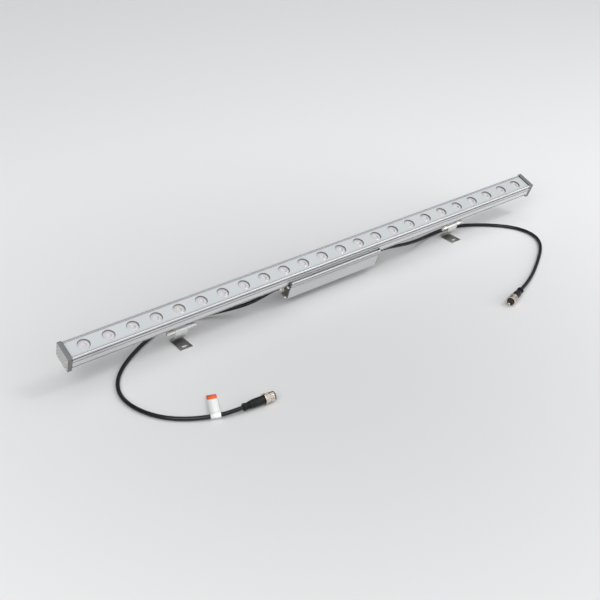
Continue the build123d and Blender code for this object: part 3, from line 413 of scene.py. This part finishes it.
def grain(tree, scale, stretch=EVEN, detail=3.0):
    """Noise in the piece's own coordinates; scale is in grains per metre."""
    place = tree.nodes.new("ShaderNodeTexCoord")
    mapping = tree.nodes.new("ShaderNodeMapping")
    mapping.inputs["Scale"].default_value = stretch
    noise = tree.nodes.new("ShaderNodeTexNoise")
    noise.inputs["Scale"].default_value = scale
    noise.inputs["Detail"].default_value = detail
    tree.links.new(place.outputs["Object"], mapping.inputs["Vector"])
    tree.links.new(mapping.outputs["Vector"], noise.inputs["Vector"])
    return noise.outputs["Fac"]


def spread(tree, value, low, high):
    """Map a noise value to a range."""
    node = tree.nodes.new("ShaderNodeMapRange")
    node.inputs["From Min"].default_value = 0.3
    node.inputs["From Max"].default_value = 0.7
    node.inputs["To Min"].default_value = low
    node.inputs["To Max"].default_value = high
    tree.links.new(value, node.inputs["Value"])
    return node.outputs["Result"]


def shade(tree, shader, colour, value, amount):
    """Vary a colour a little lighter and darker with a noise value."""
    ramp = tree.nodes.new("ShaderNodeValToRGB")
    ramp.color_ramp.elements[0].position = 0.3
    ramp.color_ramp.elements[0].color = (*[c * (1 - amount) for c in colour], 1.0)
    ramp.color_ramp.elements[1].position = 0.7
    ramp.color_ramp.elements[1].color = (*[min(1.0, c * (1 + amount)) for c in colour], 1.0)
    tree.links.new(value, ramp.inputs["Fac"])
    tree.links.new(ramp.outputs["Color"], shader.inputs["Base Color"])


def relief(tree, shader, value, strength, depth, edge=0.0):
    """Bump from a noise value, over edges softened by a small radius."""
    bump = tree.nodes.new("ShaderNodeBump")
    bump.inputs["Strength"].default_value = strength
    bump.inputs["Distance"].default_value = depth
    tree.links.new(value, bump.inputs["Height"])
    if edge:
        soft = tree.nodes.new("ShaderNodeBevel")
        soft.inputs["Radius"].default_value = edge
        soft.samples = 4
        tree.links.new(soft.outputs["Normal"], bump.inputs["Normal"])
    tree.links.new(bump.outputs["Normal"], shader.inputs["Normal"])


def paint_light_by_facing(tree, shader, axis, colour, face):
    """Painted light: a second colour on the faces that look along one axis of the piece."""
    place = tree.nodes.new("ShaderNodeTexCoord")
    split = tree.nodes.new("ShaderNodeSeparateXYZ")
    along = tree.nodes.new("ShaderNodeMath")
    along.operation = "ABSOLUTE"
    ramp = tree.nodes.new("ShaderNodeValToRGB")
    ramp.color_ramp.elements[0].position = 0.80
    ramp.color_ramp.elements[0].color = (*colour, 1.0)
    ramp.color_ramp.elements[1].position = 0.95
    ramp.color_ramp.elements[1].color = (*face, 1.0)
    tree.links.new(place.outputs["Normal"], split.inputs["Vector"])
    tree.links.new(split.outputs[axis], along.inputs[0])
    tree.links.new(along.outputs["Value"], ramp.inputs["Fac"])
    tree.links.new(ramp.outputs["Color"], shader.inputs["Base Color"])


def paint_crevice_shade(tree, shader, reach, dark=0.06, closed=0.20, open_sky=0.72):
    """Painted shade: darken the base colour where surfaces within a reach hide more than a share of the
    sky.
    """
    hollow = tree.nodes.new("ShaderNodeAmbientOcclusion")
    hollow.samples = 8
    hollow.inputs["Distance"].default_value = reach
    ramp = tree.nodes.new("ShaderNodeValToRGB")
    ramp.color_ramp.elements[0].position = closed
    ramp.color_ramp.elements[0].color = (dark, dark, dark, 1.0)
    ramp.color_ramp.elements[1].position = open_sky
    tint = tree.nodes.new("ShaderNodeMix")
    tint.data_type = "RGBA"
    tint.blend_type = "MULTIPLY"
    tint.inputs["Factor"].default_value = 1.0
    whole = shader.inputs["Base Color"].links[0].from_socket
    tree.links.new(hollow.outputs["AO"], ramp.inputs["Fac"])
    tree.links.new(whole, tint.inputs["A"])
    tree.links.new(ramp.outputs["Color"], tint.inputs["B"])
    tree.links.new(tint.outputs["Result"], shader.inputs["Base Color"])


def anodised(name, colour):
    """Satin anodised aluminium with faint drawing lines along the bar, and painted shade darkening its
    grooves.
    """
    material, tree, shader = new_finish(name, colour, 0.50, 0.9)
    lines = grain(tree, 900.0, (0.012, 1.0, 1.0))
    tree.links.new(spread(tree, lines, 0.44, 0.56), shader.inputs["Roughness"])
    shade(tree, shader, colour, grain(tree, 30.0, (0.3, 1.0, 1.0)), amount=0.03)
    # Painted shade in the grooves and gaps of the extrusion.
    paint_crevice_shade(tree, shader, reach=0.004, closed=0.12, open_sky=0.55)
    relief(tree, shader, lines, strength=0.12, depth=0.00006)
    return material


def panel_paint(colour):
    """Satin pale plate with a fine even grain, with painted shadow darkening it beside the caps."""
    material, tree, shader = new_finish("panel_paint", colour, 0.48, 0.15)
    speck = grain(tree, 2600.0, detail=2.0)
    tree.links.new(spread(tree, speck, 0.42, 0.54), shader.inputs["Roughness"])
    shade(tree, shader, colour, grain(tree, 18.0), amount=0.02)
    # Painted shadow: darkens the panel beside the caps and the rims.
    paint_crevice_shade(tree, shader, reach=0.012, dark=0.35, closed=0.50, open_sky=0.92)
    relief(tree, shader, speck, strength=0.08, depth=0.00004)
    return material


def moulding(name, colour, roughness=0.5, gloss=0.5):
    """Moulded plastic with a fine spark-eroded grain."""
    material, tree, shader = new_finish(name, colour, roughness)
    shader.inputs["Specular IOR Level"].default_value = gloss
    speck = grain(tree, 2200.0)
    tree.links.new(spread(tree, speck, roughness - 0.06, roughness + 0.06), shader.inputs["Roughness"])
    shade(tree, shader, colour, grain(tree, 60.0), amount=0.06)
    relief(tree, shader, speck, strength=0.18, depth=0.00006, edge=0.0003)
    return material


def cap_skin(colour, face):
    """Grey moulding whose outer face is painted paler than its sides, as painted light falling on it from
    the left.
    """
    material, tree, shader = new_finish("cap_moulding", colour, 0.42)
    shader.inputs["Specular IOR Level"].default_value = 0.35
    speck = grain(tree, 2200.0)
    # Painted light on the outer faces.
    paint_light_by_facing(tree, shader, "X", colour, face)
    tree.links.new(spread(tree, speck, 0.36, 0.48), shader.inputs["Roughness"])
    relief(tree, shader, speck, strength=0.18, depth=0.00006, edge=0.0003)
    return material


def brushed(name, colour, roughness, stretch=(0.05, 1.0, 1.0), reach=0.003):
    """Brushed metal with fine scratches and softened edges, with painted shade in gaps narrower than its
    reach.
    """
    material, tree, shader = new_finish(name, colour, roughness, 1.0)
    lines = grain(tree, 1600.0, stretch)
    tree.links.new(spread(tree, lines, roughness - 0.05, roughness + 0.08), shader.inputs["Roughness"])
    shade(tree, shader, colour, grain(tree, 140.0), amount=0.05)
    # Painted shade in the gaps round the clips, bolts and nuts.
    if reach:
        paint_crevice_shade(tree, shader, reach, dark=0.12)
    relief(tree, shader, lines, strength=0.10, depth=0.00004, edge=0.0003)
    return material


def foot_strip(colour, plate):
    """Bent strip with painted reflection: steel colour on its knuckle, web and front edge, darker on its
    plate.
    """
    material, tree, shader = new_finish("foot_steel", colour, 0.40, 1.0)
    lines = grain(tree, 1600.0, (0.05, 1.0, 1.0))
    tree.links.new(spread(tree, lines, 0.34, 0.46), shader.inputs["Roughness"])
    # Painted reflection: dark low on the strip, bright higher up and along the front edge.
    place = tree.nodes.new("ShaderNodeTexCoord")
    share = tree.nodes.new("ShaderNodeSeparateXYZ")
    rise = tree.nodes.new("ShaderNodeMapRange")
    rise.inputs["From Min"].default_value = 0.08
    rise.inputs["From Max"].default_value = 0.75
    front = tree.nodes.new("ShaderNodeMapRange")
    front.inputs["From Min"].default_value = 0.03
    front.inputs["From Max"].default_value = 0.01
    painted_reflection = tree.nodes.new("ShaderNodeMath")
    painted_reflection.operation = "MAXIMUM"
    ramp = tree.nodes.new("ShaderNodeValToRGB")
    ramp.color_ramp.elements[0].color = (*plate, 1.0)
    ramp.color_ramp.elements[1].color = (*colour, 1.0)
    tree.links.new(place.outputs["Generated"], share.inputs["Vector"])
    tree.links.new(share.outputs["Z"], rise.inputs["Value"])
    tree.links.new(share.outputs["Y"], front.inputs["Value"])
    tree.links.new(rise.outputs["Result"], painted_reflection.inputs[0])
    tree.links.new(front.outputs["Result"], painted_reflection.inputs[1])
    tree.links.new(painted_reflection.outputs["Value"], ramp.inputs["Fac"])
    tree.links.new(ramp.outputs["Color"], shader.inputs["Base Color"])
    relief(tree, shader, lines, strength=0.10, depth=0.00004)
    return material


def rubber_sheath(name, colour, roughness=0.24):
    """Rubber with a dull sheen and a slightly uneven skin."""
    material, tree, shader = new_finish(name, colour, roughness)
    shader.inputs["Specular IOR Level"].default_value = 0.38
    skin = grain(tree, 900.0)
    tree.links.new(spread(tree, skin, roughness - 0.07, roughness + 0.07), shader.inputs["Roughness"])
    shade(tree, shader, colour, grain(tree, 45.0), amount=0.15)
    relief(tree, shader, skin, strength=0.12, depth=0.0001)
    return material


def optical(colour):
    """Pale clear moulding of the lenses."""
    material, tree, shader = new_finish("lens_optic", colour, 0.14)
    shader.inputs["Coat Weight"].default_value = 0.7
    shader.inputs["Coat Roughness"].default_value = 0.05
    cloud = grain(tree, 160.0)
    tree.links.new(spread(tree, cloud, 0.08, 0.2), shader.inputs["Roughness"])
    shade(tree, shader, colour, cloud, amount=0.08)
    relief(tree, shader, grain(tree, 420.0), strength=0.06, depth=0.0002)
    return material


def label_paper(name, colour):
    """Smooth label paper with faint fibres."""
    material, tree, shader = new_finish(name, colour, 0.6)
    fibre = grain(tree, 1200.0, (1.0, 0.3, 1.0))
    tree.links.new(spread(tree, fibre, 0.52, 0.68), shader.inputs["Roughness"])
    shade(tree, shader, colour, grain(tree, 300.0), amount=0.02)
    relief(tree, shader, fibre, strength=0.10, depth=0.00004)
    return material


def dress(material, *names):
    """Give CAD nodes a finish."""
    for name in names:
        data = NODES[name].data
        data.materials.clear()
        data.materials.append(material)


def mesh_piece(name, bm, body, *materials):
    """A new mesh piece from a bmesh, riding on a CAD body."""
    data = bpy.data.meshes.new(name)
    bmesh.ops.recalc_face_normals(bm, faces=bm.faces)
    bm.to_mesh(data)
    bm.free()
    obj = bpy.data.objects.new(name, data)
    bpy.context.scene.collection.objects.link(obj)
    for material in materials:
        data.materials.append(material)
    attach(obj, body)
    return obj


def revolve(bm, profile, segments, place):
    """Turn (radius, height) points about the local Z of a place; a point on the axis closes the form."""
    rings = []
    for radius, height in profile:
        if radius == 0.0:
            rings.append([bm.verts.new(place @ Vector((0, 0, height)))])
            continue
        ring = []
        for i in range(segments):
            turn = 2 * math.pi * i / segments
            spot = Vector((radius * math.cos(turn), radius * math.sin(turn), height))
            ring.append(bm.verts.new(place @ spot))
        rings.append(ring)
    for low, high in zip(rings, rings[1:]):
        for i in range(segments):
            j = (i + 1) % segments
            corners = [low[i % len(low)], low[j % len(low)], high[j % len(high)], high[i % len(high)]]
            unique = list(dict.fromkeys(corners))
            if len(unique) > 2:
                bm.faces.new(unique).smooth = True


def lens_profile(sizes):
    """(radius, height) points of one lens: cone, rim, face and a rounded dimple."""
    rim = sizes.lens_radius
    face = -sizes.lens_recess
    edge = sizes.lens_edge
    low = face - sizes.lens_crown
    crown = []
    for share in CROWN_SHARES:
        radius = sizes.dimple_radius + (rim - edge - sizes.dimple_radius) * share
        crown.append((radius, face - sizes.lens_crown * share**CROWN_POWER))
    dimple = []
    for share in DIMPLE_SHARES:
        sink = (1 - math.cos(math.pi * min(1.0, (1.0 - share) / DIMPLE_WALL))) / 2
        dimple.append((sizes.dimple_radius * share, face - sizes.dimple_depth * sink))
    return [
        (0.0, -sizes.lens_foot_depth),
        (sizes.lens_foot_radius, -sizes.lens_foot_depth),
        (rim, low - sizes.lens_rim),
        (rim, low - edge),
        (rim - 0.3 * edge, low - 0.3 * edge),
        *crown,
        *dimple,
        (0.0, face - sizes.dimple_depth),
    ]


def tag_place(sizes):
    """Where the tag is folded: X along the flag, Y back along the cable, Z up."""
    way = (Vector(LEFT_ROUTE[-3]) - Vector(LEFT_ROUTE[-4])).normalized()
    across = Vector((-way.y, way.x, 0)).normalized()
    out = across * math.cos(sizes.tag_drop) - Vector((0, 0, math.sin(sizes.tag_drop)))
    low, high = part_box("cable_tag")
    fold = sizes.cable_diameter / 2 + sizes.tag_room
    wrap = fold + sizes.tag_paper
    at = (low + high) / 2 - out * (fold + sizes.tag_length - wrap) / 2
    at.z = high.z - wrap
    up = way.cross(out).normalized()
    back = up.cross(out)
    return Matrix.Translation(at) @ Matrix((out, back, up)).transposed().to_4x4()


def tag_path(sizes):
    """(along, up) points of the paper: in along the upper layer, round the cable, out along the lower."""
    fold = sizes.cable_diameter / 2 + sizes.tag_room + sizes.tag_paper / 2
    end = fold + sizes.tag_length - sizes.tag_paper / 2
    layer = sizes.tag_paper / 2 * TAG_LAYER_GAP
    stops = [end - sizes.tag_band * i / TAG_BAND_STEPS for i in range(TAG_BAND_STEPS + 1)]
    flag = stops[-1] - fold
    stops += [fold + flag * (TAG_FLAG_STEPS - i) / TAG_FLAG_STEPS for i in range(1, TAG_FLAG_STEPS)]
    bow = [sizes.tag_bow * math.sin(math.pi * (s - fold) / (end - fold)) for s in stops]
    lift = math.asin(layer / fold)
    round_cable = 2 * math.pi - 2 * lift
    turns = [lift + round_cable * i / TAG_FOLD_STEPS for i in range(TAG_FOLD_STEPS + 1)]
    upper = [(s, b + layer) for s, b in zip(stops, bow)]
    lower = [(s, b - layer) for s, b in zip(stops, bow)]
    return upper + [(fold * math.cos(t), fold * math.sin(t)) for t in turns] + lower[::-1]


def folded_tag(bm, sizes):
    """The paper strip along its path; the faces of the band take the second finish."""
    place = tag_place(sizes)
    path = [Vector(p) for p in tag_path(sizes)]
    half = sizes.tag_width / 2
    rows = []
    for i, point in enumerate(path):
        ahead = path[min(i + 1, len(path) - 1)] - path[max(i - 1, 0)]
        side = Vector((ahead.y, -ahead.x)).normalized() * sizes.tag_paper / 2
        corners = []
        for skin, y in ((side, half), (side, -half), (-side, -half), (-side, half)):
            spot = point + skin
            corners.append(bm.verts.new(place @ Vector((spot.x, y, spot.y))))
        rows.append(corners)
    for i, (here, there) in enumerate(zip(rows, rows[1:])):
        for k in range(4):
            face = bm.faces.new((here[k], here[(k + 1) % 4], there[(k + 1) % 4], there[k]))
            face.smooth = k in (0, 2)
            face.material_index = 1 if i < TAG_BAND_STEPS and k == 0 else 0
    bm.faces.new(rows[0])
    bm.faces.new(rows[-1])


class FLOODLIGHT_OT_stage(bpy.types.Operator):
    """Floor, room light, lamps and camera"""

    bl_idname = "floodlight.stage"
    bl_label = "Stage"

    def execute(self, context):
        stage = context.scene.floodlight_stage
        material = self.floor_finish(stage)
        bm = bmesh.new()
        bmesh.ops.create_grid(bm, x_segments=8, y_segments=8, size=stage.floor_size)
        data = bpy.data.meshes.new("floor")
        bm.to_mesh(data)
        bm.free()
        floor = bpy.data.objects.new("floor", data)
        data.materials.append(material)
        context.scene.collection.objects.link(floor)
        self.light_room(context, stage)
        self.hang_lamps(context, stage)
        self.set_camera(context, stage)
        context.scene.view_settings.view_transform = "Standard"
        return {"FINISHED"}

    def floor_finish(self, stage):
        """Matt floor with painted shade: darkest at its centre in front of the bar, paler with distance."""
        material, tree, shader = new_finish("studio_floor", stage.floor_colour, 0.85)
        shader.inputs["Specular IOR Level"].default_value = 0.1
        place = tree.nodes.new("ShaderNodeTexCoord")
        mapping = tree.nodes.new("ShaderNodeMapping")
        mapping.inputs["Location"].default_value = -Vector(stage.floor_shade_centre) / stage.floor_spread
        mapping.inputs["Scale"].default_value = [1 / stage.floor_spread] * 3
        ball = tree.nodes.new("ShaderNodeTexGradient")
        ball.gradient_type = "SPHERICAL"
        ramp = tree.nodes.new("ShaderNodeValToRGB")
        ramp.color_ramp.interpolation = "EASE"
        ramp.color_ramp.elements[0].color = (*stage.floor_colour, 1.0)
        ramp.color_ramp.elements[1].color = (*stage.floor_painted_shade, 1.0)
        tree.links.new(place.outputs["Object"], mapping.inputs["Vector"])
        tree.links.new(mapping.outputs["Vector"], ball.inputs["Vector"])
        tree.links.new(ball.outputs["Fac"], ramp.inputs["Fac"])
        tree.links.new(ramp.outputs["Color"], shader.inputs["Base Color"])
        return material

    def light_room(self, context, stage):
        """A room that is bright round one pole and dim on its far side."""
        world = bpy.data.worlds.new("studio_room")
        context.scene.world = world
        world.use_nodes = True
        tree = world.node_tree
        background = tree.nodes["Background"]
        background.inputs["Strength"].default_value = stage.room_strength
        way = tree.nodes.new("ShaderNodeTexCoord")
        along = tree.nodes.new("ShaderNodeVectorMath")
        along.operation = "DOT_PRODUCT"
        along.inputs[1].default_value = Vector(stage.room_pole).normalized()
        ramp = tree.nodes.new("ShaderNodeValToRGB")
        dim, bright = ramp.color_ramp.elements
        dim.position = math.cos(stage.room_edge)
        dim.color = (stage.room_dim, stage.room_dim, stage.room_dim, 1.0)
        bright.position = math.cos(stage.room_bright)
        bright.color = (*stage.room_colour, 1.0)
        tree.links.new(way.outputs["Generated"], along.inputs[0])
        tree.links.new(along.outputs["Value"], ramp.inputs["Fac"])
        tree.links.new(ramp.outputs["Color"], background.inputs["Color"])

    def hang_lamps(self, context, stage):
        """The lamps, all turned to the middle of the bar."""
        lamps = (
            ("key_lamp", stage.key_place, stage.key_energy, stage.key_size),
            ("fill_lamp", stage.fill_place, stage.fill_energy, stage.fill_size),
            ("end_lamp", stage.end_place, stage.end_energy, stage.end_size),
        )
        for name, place, energy, size in lamps:
            light = bpy.data.lights.new(name, "AREA")
            light.energy = energy
            light.size = size
            lamp = bpy.data.objects.new(name, light)
            lamp.location = place
            lamp.rotation_euler = (-Vector(place)).to_track_quat("-Z", "Y").to_euler()
            context.scene.collection.objects.link(lamp)

    def set_camera(self, context, stage):
        """The camera at the photograph's place."""
        data = bpy.data.cameras.new("photo_camera")
        data.sensor_width = 36.0
        data.lens = stage.camera_lens
        data.clip_start = 0.05
        camera = bpy.data.objects.new("photo_camera", data)
        camera.location = stage.camera_place
        camera.rotation_euler = (math.pi / 2 - stage.camera_dip, 0.0, -stage.camera_turn)
        context.scene.collection.objects.link(camera)
        context.scene.camera = camera


class FLOODLIGHT_OT_bar(bpy.types.Operator):
    """Finishes of the bar: extrusion, panel, caps and seals"""

    bl_idname = "floodlight.bar"
    bl_label = "Bar"

    def execute(self, context):
        colours = context.scene.floodlight_colours
        dress(anodised("anodised_bar", colours.aluminium), "housing")
        dress(panel_paint(colours.panel), "front_panel")
        dress(cap_skin(colours.cap, colours.cap_face_painted_light), "end_cap_left", "end_cap_right")
        seal = rubber_sheath("seal_rubber", colours.rubber)
        dress(seal, "panel_gasket", "cap_gasket_left", "cap_gasket_right")
        dress(moulding("tray_moulding", colours.bronze, 0.38), "lens_tray")
        dress(moulding("board_mask", colours.board_mask), "led_board_left", "led_board_right")
        dress(moulding("led_phosphor", colours.led_phosphor, 0.3), "leds")
        return {"FINISHED"}


class FLOODLIGHT_OT_lenses(bpy.types.Operator):
    """The row of collimator lenses behind the panel's windows"""

    bl_idname = "floodlight.lenses"
    bl_label = "Lenses"

    def execute(self, context):
        sizes = context.scene.floodlight_sizes
        profile = lens_profile(sizes)
        bm = bmesh.new()
        for i in range(sizes.lens_count):
            x = (i - (sizes.lens_count - 1) / 2) * sizes.lens_pitch
            revolve(bm, profile, LENS_SEGMENTS, BAR @ Matrix.Translation((x, 0, 0)))
        row = mesh_piece("lens_row", bm, "lamp", optical(context.scene.floodlight_colours.lens))
        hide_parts("lenses")
        return {"FINISHED"}


class FLOODLIGHT_OT_driver(bpy.types.Operator):
    """Finishes of the driver box and what it holds"""

    bl_idname = "floodlight.driver"
    bl_label = "Driver box"

    def execute(self, context):
        colours = context.scene.floodlight_colours
        dress(anodised("anodised_box", colours.box_aluminium), "driver_box")
        plate = brushed("plate_dark", colours.end_plate, 0.4)
        dress(plate, "driver_end_left", "driver_end_right")
        gland = brushed("gland_plating", colours.hardware, 0.24, EVEN, reach=0.0)
        dress(gland, "gland_left", "gland_right", "gland_lock_nuts")
        dress(moulding("board_green", colours.board_green), "driver_board")
        dress(moulding("winding_tape", colours.winding_tape), "driver_transformer")
        dress(moulding("capacitor_sleeve", colours.capacitor_sleeve, 0.3), "driver_capacitors")
        dress(rubber_sheath("lead_red", colours.lead_red), "feed_wires")
        return {"FINISHED"}


class FLOODLIGHT_OT_brackets(bpy.types.Operator):
    """Finishes of the tilting brackets and all screws"""

    bl_idname = "floodlight.brackets"
    bl_label = "Brackets"

    def execute(self, context):
        colours = context.scene.floodlight_colours
        dress(foot_strip(colours.steel, colours.foot_plate_painted_shade), "foot_left", "foot_right")
        dress(brushed("clip_steel", colours.steel, 0.24), "bracket_clip_left", "bracket_clip_right")
        bolt = brushed("bolt_steel", colours.hardware, 0.25, EVEN)
        dress(bolt, "hinge_bolt_left", "hinge_bolt_right", "hinge_nuts", "hinge_washers")
        screw = brushed("screw_steel", colours.hardware, 0.18, EVEN, reach=0.0)
        dress(screw, "end_cap_screws", "driver_end_screws", "driver_box_screws", "clip_screws")
        return {"FINISHED"}


class FLOODLIGHT_OT_cables(bpy.types.Operator):
    """The two cables as smooth curves"""

    bl_idname = "floodlight.cables"
    bl_label = "Cables"

    def execute(self, context):
        sizes = context.scene.floodlight_sizes
        sheath = rubber_sheath("cable_sheath", context.scene.floodlight_colours.rubber)
        plug = [NODES[f"plug_{part}"] for part in ("body", "nut", "insert", "seal", "pins")]
        plug.append(bpy.data.objects["tag_flag"])
        socket = [NODES[f"socket_{part}"] for part in ("body", "nut", "insert", "seal", "contacts")]
        cables = (
            ("cable_left", LEFT_ROUTE, sizes.cable_left_length, "plug", plug),
            ("cable_right", RIGHT_ROUTE, sizes.cable_right_length, "connector", socket),
        )
        for node, route, length, far_end, pieces in cables:
            data = bpy.data.curves.new(node + "_curve", "CURVE")
            data.dimensions = "3D"
            data.bevel_depth = sizes.cable_diameter / 2
            data.bevel_resolution = 6
            data.resolution_u = 8
            data.use_fill_caps = True
            spline = data.splines.new("NURBS")
            spline.points.add(len(route) - 1)
            for point, place in zip(spline.points, route):
                point.co = (*place, 1.0)
            spline.order_u = 3
            spline.use_endpoint_u = True
            data.materials.append(sheath)
            cable = bpy.data.objects.new(node + "_sheath", data)
            context.scene.collection.objects.link(cable)
            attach(cable, "lamp")
            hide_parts(node)
        return {"FINISHED"}


class FLOODLIGHT_OT_connectors(bpy.types.Operator):
    """Finishes of the plug and the socket"""

    bl_idname = "floodlight.connectors"
    bl_label = "Connectors"

    def execute(self, context):
        colours = context.scene.floodlight_colours
        black = moulding("connector_moulding", colours.rubber, 0.30, gloss=0.28)
        dress(black, "plug_body", "socket_body", "plug_insert", "plug_seal")
        dress(brushed("coupling_plating", colours.nickel, 0.15, EVEN), "plug_nut", "socket_nut")
        dress(moulding("insert_moulding", colours.insert, 0.45), "socket_insert")
        dress(rubber_sheath("seal_red", colours.seal, 0.5), "socket_seal")
        dress(brushed("contact_copper", colours.copper, 0.25), "plug_pins", "socket_contacts")
        return {"FINISHED"}


class FLOODLIGHT_OT_tag(bpy.types.Operator):
    """The paper tag folded round the left cable"""

    bl_idname = "floodlight.tag"
    bl_label = "Tag"

    def execute(self, context):
        colours = context.scene.floodlight_colours
        bm = bmesh.new()
        folded_tag(bm, context.scene.floodlight_sizes)
        paper = label_paper("tag_paper", colours.paper)
        tag = mesh_piece("tag_flag", bm, "lamp", paper, label_paper("tag_band", colours.band))
        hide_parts("cable_tag")
        return {"FINISHED"}


class FLOODLIGHT_PT_panel(bpy.types.Panel):
    """Buttons for each group of pieces, with their sizes and colours"""

    bl_idname = "FLOODLIGHT_PT_panel"
    bl_label = "Floodlight"
    bl_space_type = "VIEW_3D"
    bl_region_type = "UI"
    bl_category = "Floodlight"

    def draw(self, context):
        for operator in OPERATORS:
            self.layout.operator(operator.bl_idname)
        for group in GROUPS:
            settings = getattr(context.scene, group)
            box = self.layout.box()
            for name in settings.__annotations__:
                box.prop(settings, name)


GROUPS = {
    "floodlight_stage": FloodlightStage,
    "floodlight_sizes": FloodlightSizes,
    "floodlight_colours": FloodlightColours,
}
OPERATORS = (
    FLOODLIGHT_OT_stage,
    FLOODLIGHT_OT_bar,
    FLOODLIGHT_OT_lenses,
    FLOODLIGHT_OT_driver,
    FLOODLIGHT_OT_brackets,
    FLOODLIGHT_OT_tag,
    FLOODLIGHT_OT_cables,
    FLOODLIGHT_OT_connectors,
)


def register():
    for name, group in GROUPS.items():
        bpy.utils.register_class(group)
        setattr(bpy.types.Scene, name, PointerProperty(type=group))
    for operator in OPERATORS:
        bpy.utils.register_class(operator)
    bpy.utils.register_class(FLOODLIGHT_PT_panel)


def unregister():
    bpy.utils.unregister_class(FLOODLIGHT_PT_panel)
    for operator in reversed(OPERATORS):
        bpy.utils.unregister_class(operator)
    for name, group in GROUPS.items():
        delattr(bpy.types.Scene, name)
        bpy.utils.unregister_class(group)


def main():
    """Build every piece in order."""
    register()
    bpy.ops.floodlight.stage()
    bpy.ops.floodlight.bar()
    bpy.ops.floodlight.lenses()
    bpy.ops.floodlight.driver()
    bpy.ops.floodlight.brackets()
    bpy.ops.floodlight.tag()
    bpy.ops.floodlight.cables()
    bpy.ops.floodlight.connectors()


if __name__ == "__main__":
    main()
